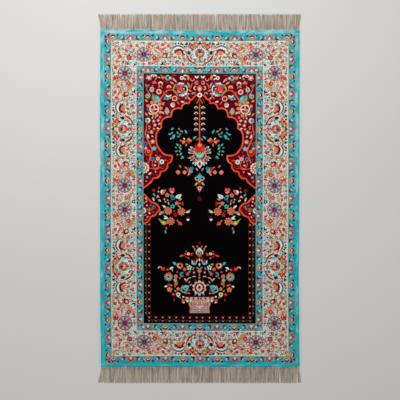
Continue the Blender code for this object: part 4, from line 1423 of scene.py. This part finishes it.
# The fringes. Past each end the cotton warps run out from under the pile through a few rows of
# plain weft, and hang loose as thin twisted yarns, cut nearly straight and parted into clumps.
CLEARANCE = 0.3
HEADING = 3.2
YARNS = 330
YARN_RADIUS = 0.85
YARN_SIDES = 5
YARN_SECTIONS = 7
YARN_SHARP_ANGLE = 75
YARN_SEED = 5
TIP_LINE = 650.6
TIP_SPREAD = 358.5
TRIM_WAVE = 2.2
TRIM_PITCH = 45
TRIM_END_OFFSET = 3.7
YARN_INSET = 1.6
YARN_DRIFT = 0.9
YARN_LIFT = 1.1
RAGGED = 1.6
SHORT_EVERY = 7
SHORT_BY = 5.0
CORNER_LEAN_POWER = 7
SWAY = 0.8
SWAY_PITCH = 62
CALM_CORNER = 340
HEADING_CELLS = 56
HEADING_THICKNESS = 0.0028
GAP_REACH = 28.0

# Where the yarns part into clumps: place across the rug, opening at the tips
FAR_GAPS = ((-276, 2.8), (-224, 1.8), (-166, 1.6), (-76, 2.4), (56, 2.8), (169, 1.4),
            (218, 3.0), (248, 1.8), (306, 1.4))
NEAR_GAPS = ((-296, 3.2), (-190, 2.0), (-130, 3.0), (-70, 2.2), (70, 1.4), (201, 1.4),
             (282, 3.0), (341, 4.6))


def parting(x, gaps):
    """How far the clumps have pulled a yarn's tip towards their own middle."""
    return sum(
        math.copysign(opening / 2, x - place) * max(0.0, 1.0 - abs(x - place) / GAP_REACH)
        for place, opening in gaps
    )


def yarn_material(name, light, dark):
    material, shader, start = new_material(name, Specular_IOR_Level=0.12, Sheen_Weight=0.1)
    where = start.make("ShaderNodeTexCoord", output=3)
    # Yarn-to-yarn tone along each yarn: partly the yarns' own tones, and the darkest yarns are
    # painted shade for the gaps between them
    across = speckle(start, where, 400.0, 2.0, (1.0, 0.04, 1.0))
    fibre = speckle(start, where, 900.0, 2.0, (1.0, 0.12, 1.0))
    twist = start.make(
        "ShaderNodeTexWave", {"wave_type": "BANDS", "bands_direction": "DIAGONAL"},
        {"Vector": where, "Scale": 220.0, "Distortion": 1.2}, 1,
    )
    shared = start.make(
        "ShaderNodeMapRange", {"clamp": True},
        {"Value": across, "From Min": 0.34, "From Max": 0.64, "To Min": 0.0, "To Max": 1.0},
    )
    tone = start.make(
        "ShaderNodeMix", {"data_type": "RGBA"}, {0: shared, 6: (*dark, 1.0), 7: (*light, 1.0)}, 2
    )
    shade = 0.78 + fibre * 0.30 + twist * 0.14
    plug(start, tone.scaled(shade), shader.inputs["Base Color"])
    plug(start, 0.8 + fibre * 0.15, shader.inputs["Roughness"])
    bump = start.make(
        "ShaderNodeBump", None, {"Strength": 0.5, "Distance": 0.0004, "Height": twist + fibre}
    )
    plug(start, bump, shader.inputs["Normal"])
    return material


# The dark tone is partly painted shade for the gaps between yarns
cotton = yarn_material("cotton_yarn", (0.71, 0.575, 0.46), (0.25, 0.19, 0.14))


def make_fringe(name, node, end, gaps):
    """All the yarns of one end, each a thin tube drawn out section by section."""
    bm = bmesh.new()
    place_in_row = bm.faces.layers.int.new("yarn")
    chance = random.Random(YARN_SEED + end)
    first = left_edge(end * HALF_LENGTH) + YARN_INSET
    last = right_edge(end * HALF_LENGTH) - YARN_INSET
    yarns = []
    tips = []
    for k in range(YARNS):
        x = first + (last - first) * k / (YARNS - 1)
        yarns.append((
            x,
            chance.uniform(-YARN_DRIFT, YARN_DRIFT),
            chance.uniform(0.0, 1.0),
            YARN_RADIUS * chance.uniform(0.8, 1.15),
            TIP_LINE - TRIM_WAVE
            * (0.5 + 0.5 * noise.noise((x / TRIM_PITCH, end * TRIM_END_OFFSET, 0.0)))
            - chance.uniform(0.0, RAGGED)
            - (chance.uniform(0.0, SHORT_BY) if k % SHORT_EVERY == 0 else 0.0),
        ))
        made = bmesh.ops.create_circle(bm, cap_ends=True, segments=YARN_SIDES, radius=1.0)
        tips.append(made["verts"][0].link_faces[0])
        tips[-1][place_in_row] = k
    for section in range(YARN_SECTIONS + 1):
        along = section / YARN_SECTIONS
        if section:
            tips = bmesh.ops.extrude_discrete_faces(bm, faces=tips)["faces"]
            tips.sort(key=lambda tip: tip[place_in_row])
        for tip, (x, drift, lift, radius, reach) in zip(tips, yarns):
            outermost = first if x < 0 else last
            most = TIP_SPREAD - radius - 1.0 - abs(outermost + parting(outermost, gaps))
            lean = math.copysign(most * abs(x / outermost) ** CORNER_LEAN_POWER, x)
            sway = SWAY * math.sin(math.tau * x / SWAY_PITCH) * math.sin(math.pi * along)
            stray = drift * math.sin(math.pi * along * 0.8) if abs(x) < CALM_CORNER else 0.0
            root = abs(end_edge(x, end)) + CLEARANCE + 0.2
            middle = complex(
                x + (lean + parting(x, gaps)) * along + sway + stray,
                end * (root + (reach - root) * along),
            )
            rise = radius + lift * YARN_LIFT * (1 - 0.55 * along) + 0.15 * math.sin(9 * along + x)
            thin = radius * (0.75 if section == YARN_SECTIONS else 1.0)
            for j, vert in enumerate(tip.verts):
                angle = math.tau * j / YARN_SIDES + 0.3
                vert.co = (
                    (middle.real + thin * math.cos(angle)) * MM,
                    middle.imag * MM,
                    max(0.0001, (rise + thin * math.sin(angle)) * MM),
                )
    cells = bmesh.ops.create_grid(bm, x_segments=HEADING_CELLS, y_segments=1, size=1.0)
    heading = cells["verts"]
    for vert in heading:
        x = first - 0.6 + (last - first + 1.2) * (vert.co.x + 1) / 2
        out = CLEARANCE + HEADING * (vert.co.y > 0)
        vert.co = (x * MM, (end_edge(x, end) + end * out) * MM, 0.0)
    faces = list({face for vert in heading for face in vert.link_faces})
    bmesh.ops.solidify(bm, geom=faces, thickness=-HEADING_THICKNESS)
    bmesh.ops.recalc_face_normals(bm, faces=bm.faces)
    mesh = bpy.data.meshes.new(name)
    bm.to_mesh(mesh)
    bm.free()
    mesh.shade_smooth()
    mesh.set_sharp_from_angle(angle=math.radians(YARN_SHARP_ANGLE))
    mesh.materials.append(cotton)
    fringe = bpy.data.objects.new(name, mesh)
    bpy.context.scene.collection.objects.link(fringe)
    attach(fringe, "root")
    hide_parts(node)
    return fringe


far_yarns = make_fringe("fringe_yarns_far", "fringe_far", 1, FAR_GAPS)
near_yarns = make_fringe("fringe_yarns_near", "fringe_near", -1, NEAR_GAPS)


# The studio: a plain pale floor, soft light from all round with a large lamp above the niche
# end, and a camera straight above the rug, as in the photograph.
FLOOR_SIZE = 6.0
WORLD_STRENGTH = 0.50
LAMP_SIZE = 1.6
LAMP_POWER = 24.0
LAMP_PLACE = (-0.4, 1.25, 1.7)
PIXELS = 400
MM_PER_PIXEL = 3.516
LENS = 85.0
VIEW_CENTRE = (0.0014, -0.0053)

bm = bmesh.new()
bmesh.ops.create_grid(bm, x_segments=2, y_segments=2, size=FLOOR_SIZE)
floor_mesh = bpy.data.meshes.new("floor")
bm.to_mesh(floor_mesh)
bm.free()
floor = bpy.data.objects.new("floor", floor_mesh)
bpy.context.scene.collection.objects.link(floor)
paint, shader, start = new_material("plain_floor", Specular_IOR_Level=0.1, Roughness=0.9)
where = start.make("ShaderNodeTexCoord", output=3)
cloud = speckle(start, where, 1.5, 2.0)
tone = start.make(
    "ShaderNodeMix", {"data_type": "RGBA"},
    {0: cloud, 6: (0.70, 0.69, 0.67, 1.0), 7: (0.74, 0.73, 0.71, 1.0)}, 2,
)
plug(start, tone, shader.inputs["Base Color"])
floor_mesh.materials.append(paint)

world = bpy.data.worlds.new("studio")
world.use_nodes = True
background = world.node_tree.nodes["Background"]
background.inputs["Color"].default_value = (1.0, 1.0, 1.0, 1.0)
background.inputs["Strength"].default_value = WORLD_STRENGTH
bpy.context.scene.world = world
lamp_data = bpy.data.lights.new("soft_lamp", "AREA")
lamp_data.shape = "DISK"
lamp_data.size = LAMP_SIZE
lamp_data.energy = LAMP_POWER
lamp = bpy.data.objects.new("soft_lamp", lamp_data)
lamp.location = LAMP_PLACE
lamp.rotation_euler = (-lamp.location).to_track_quat("-Z", "Y").to_euler()
bpy.context.scene.collection.objects.link(lamp)

camera_data = bpy.data.cameras.new("camera")
camera_data.lens = LENS
half_view = camera_data.sensor_width / 2 / LENS
camera = bpy.data.objects.new("camera", camera_data)
camera.location = (*VIEW_CENTRE, PILE_HEIGHT + PIXELS * MM_PER_PIXEL * MM / 2 / half_view)
bpy.context.scene.collection.objects.link(camera)
bpy.context.scene.camera = camera
bpy.context.scene.view_settings.view_transform = "Standard"
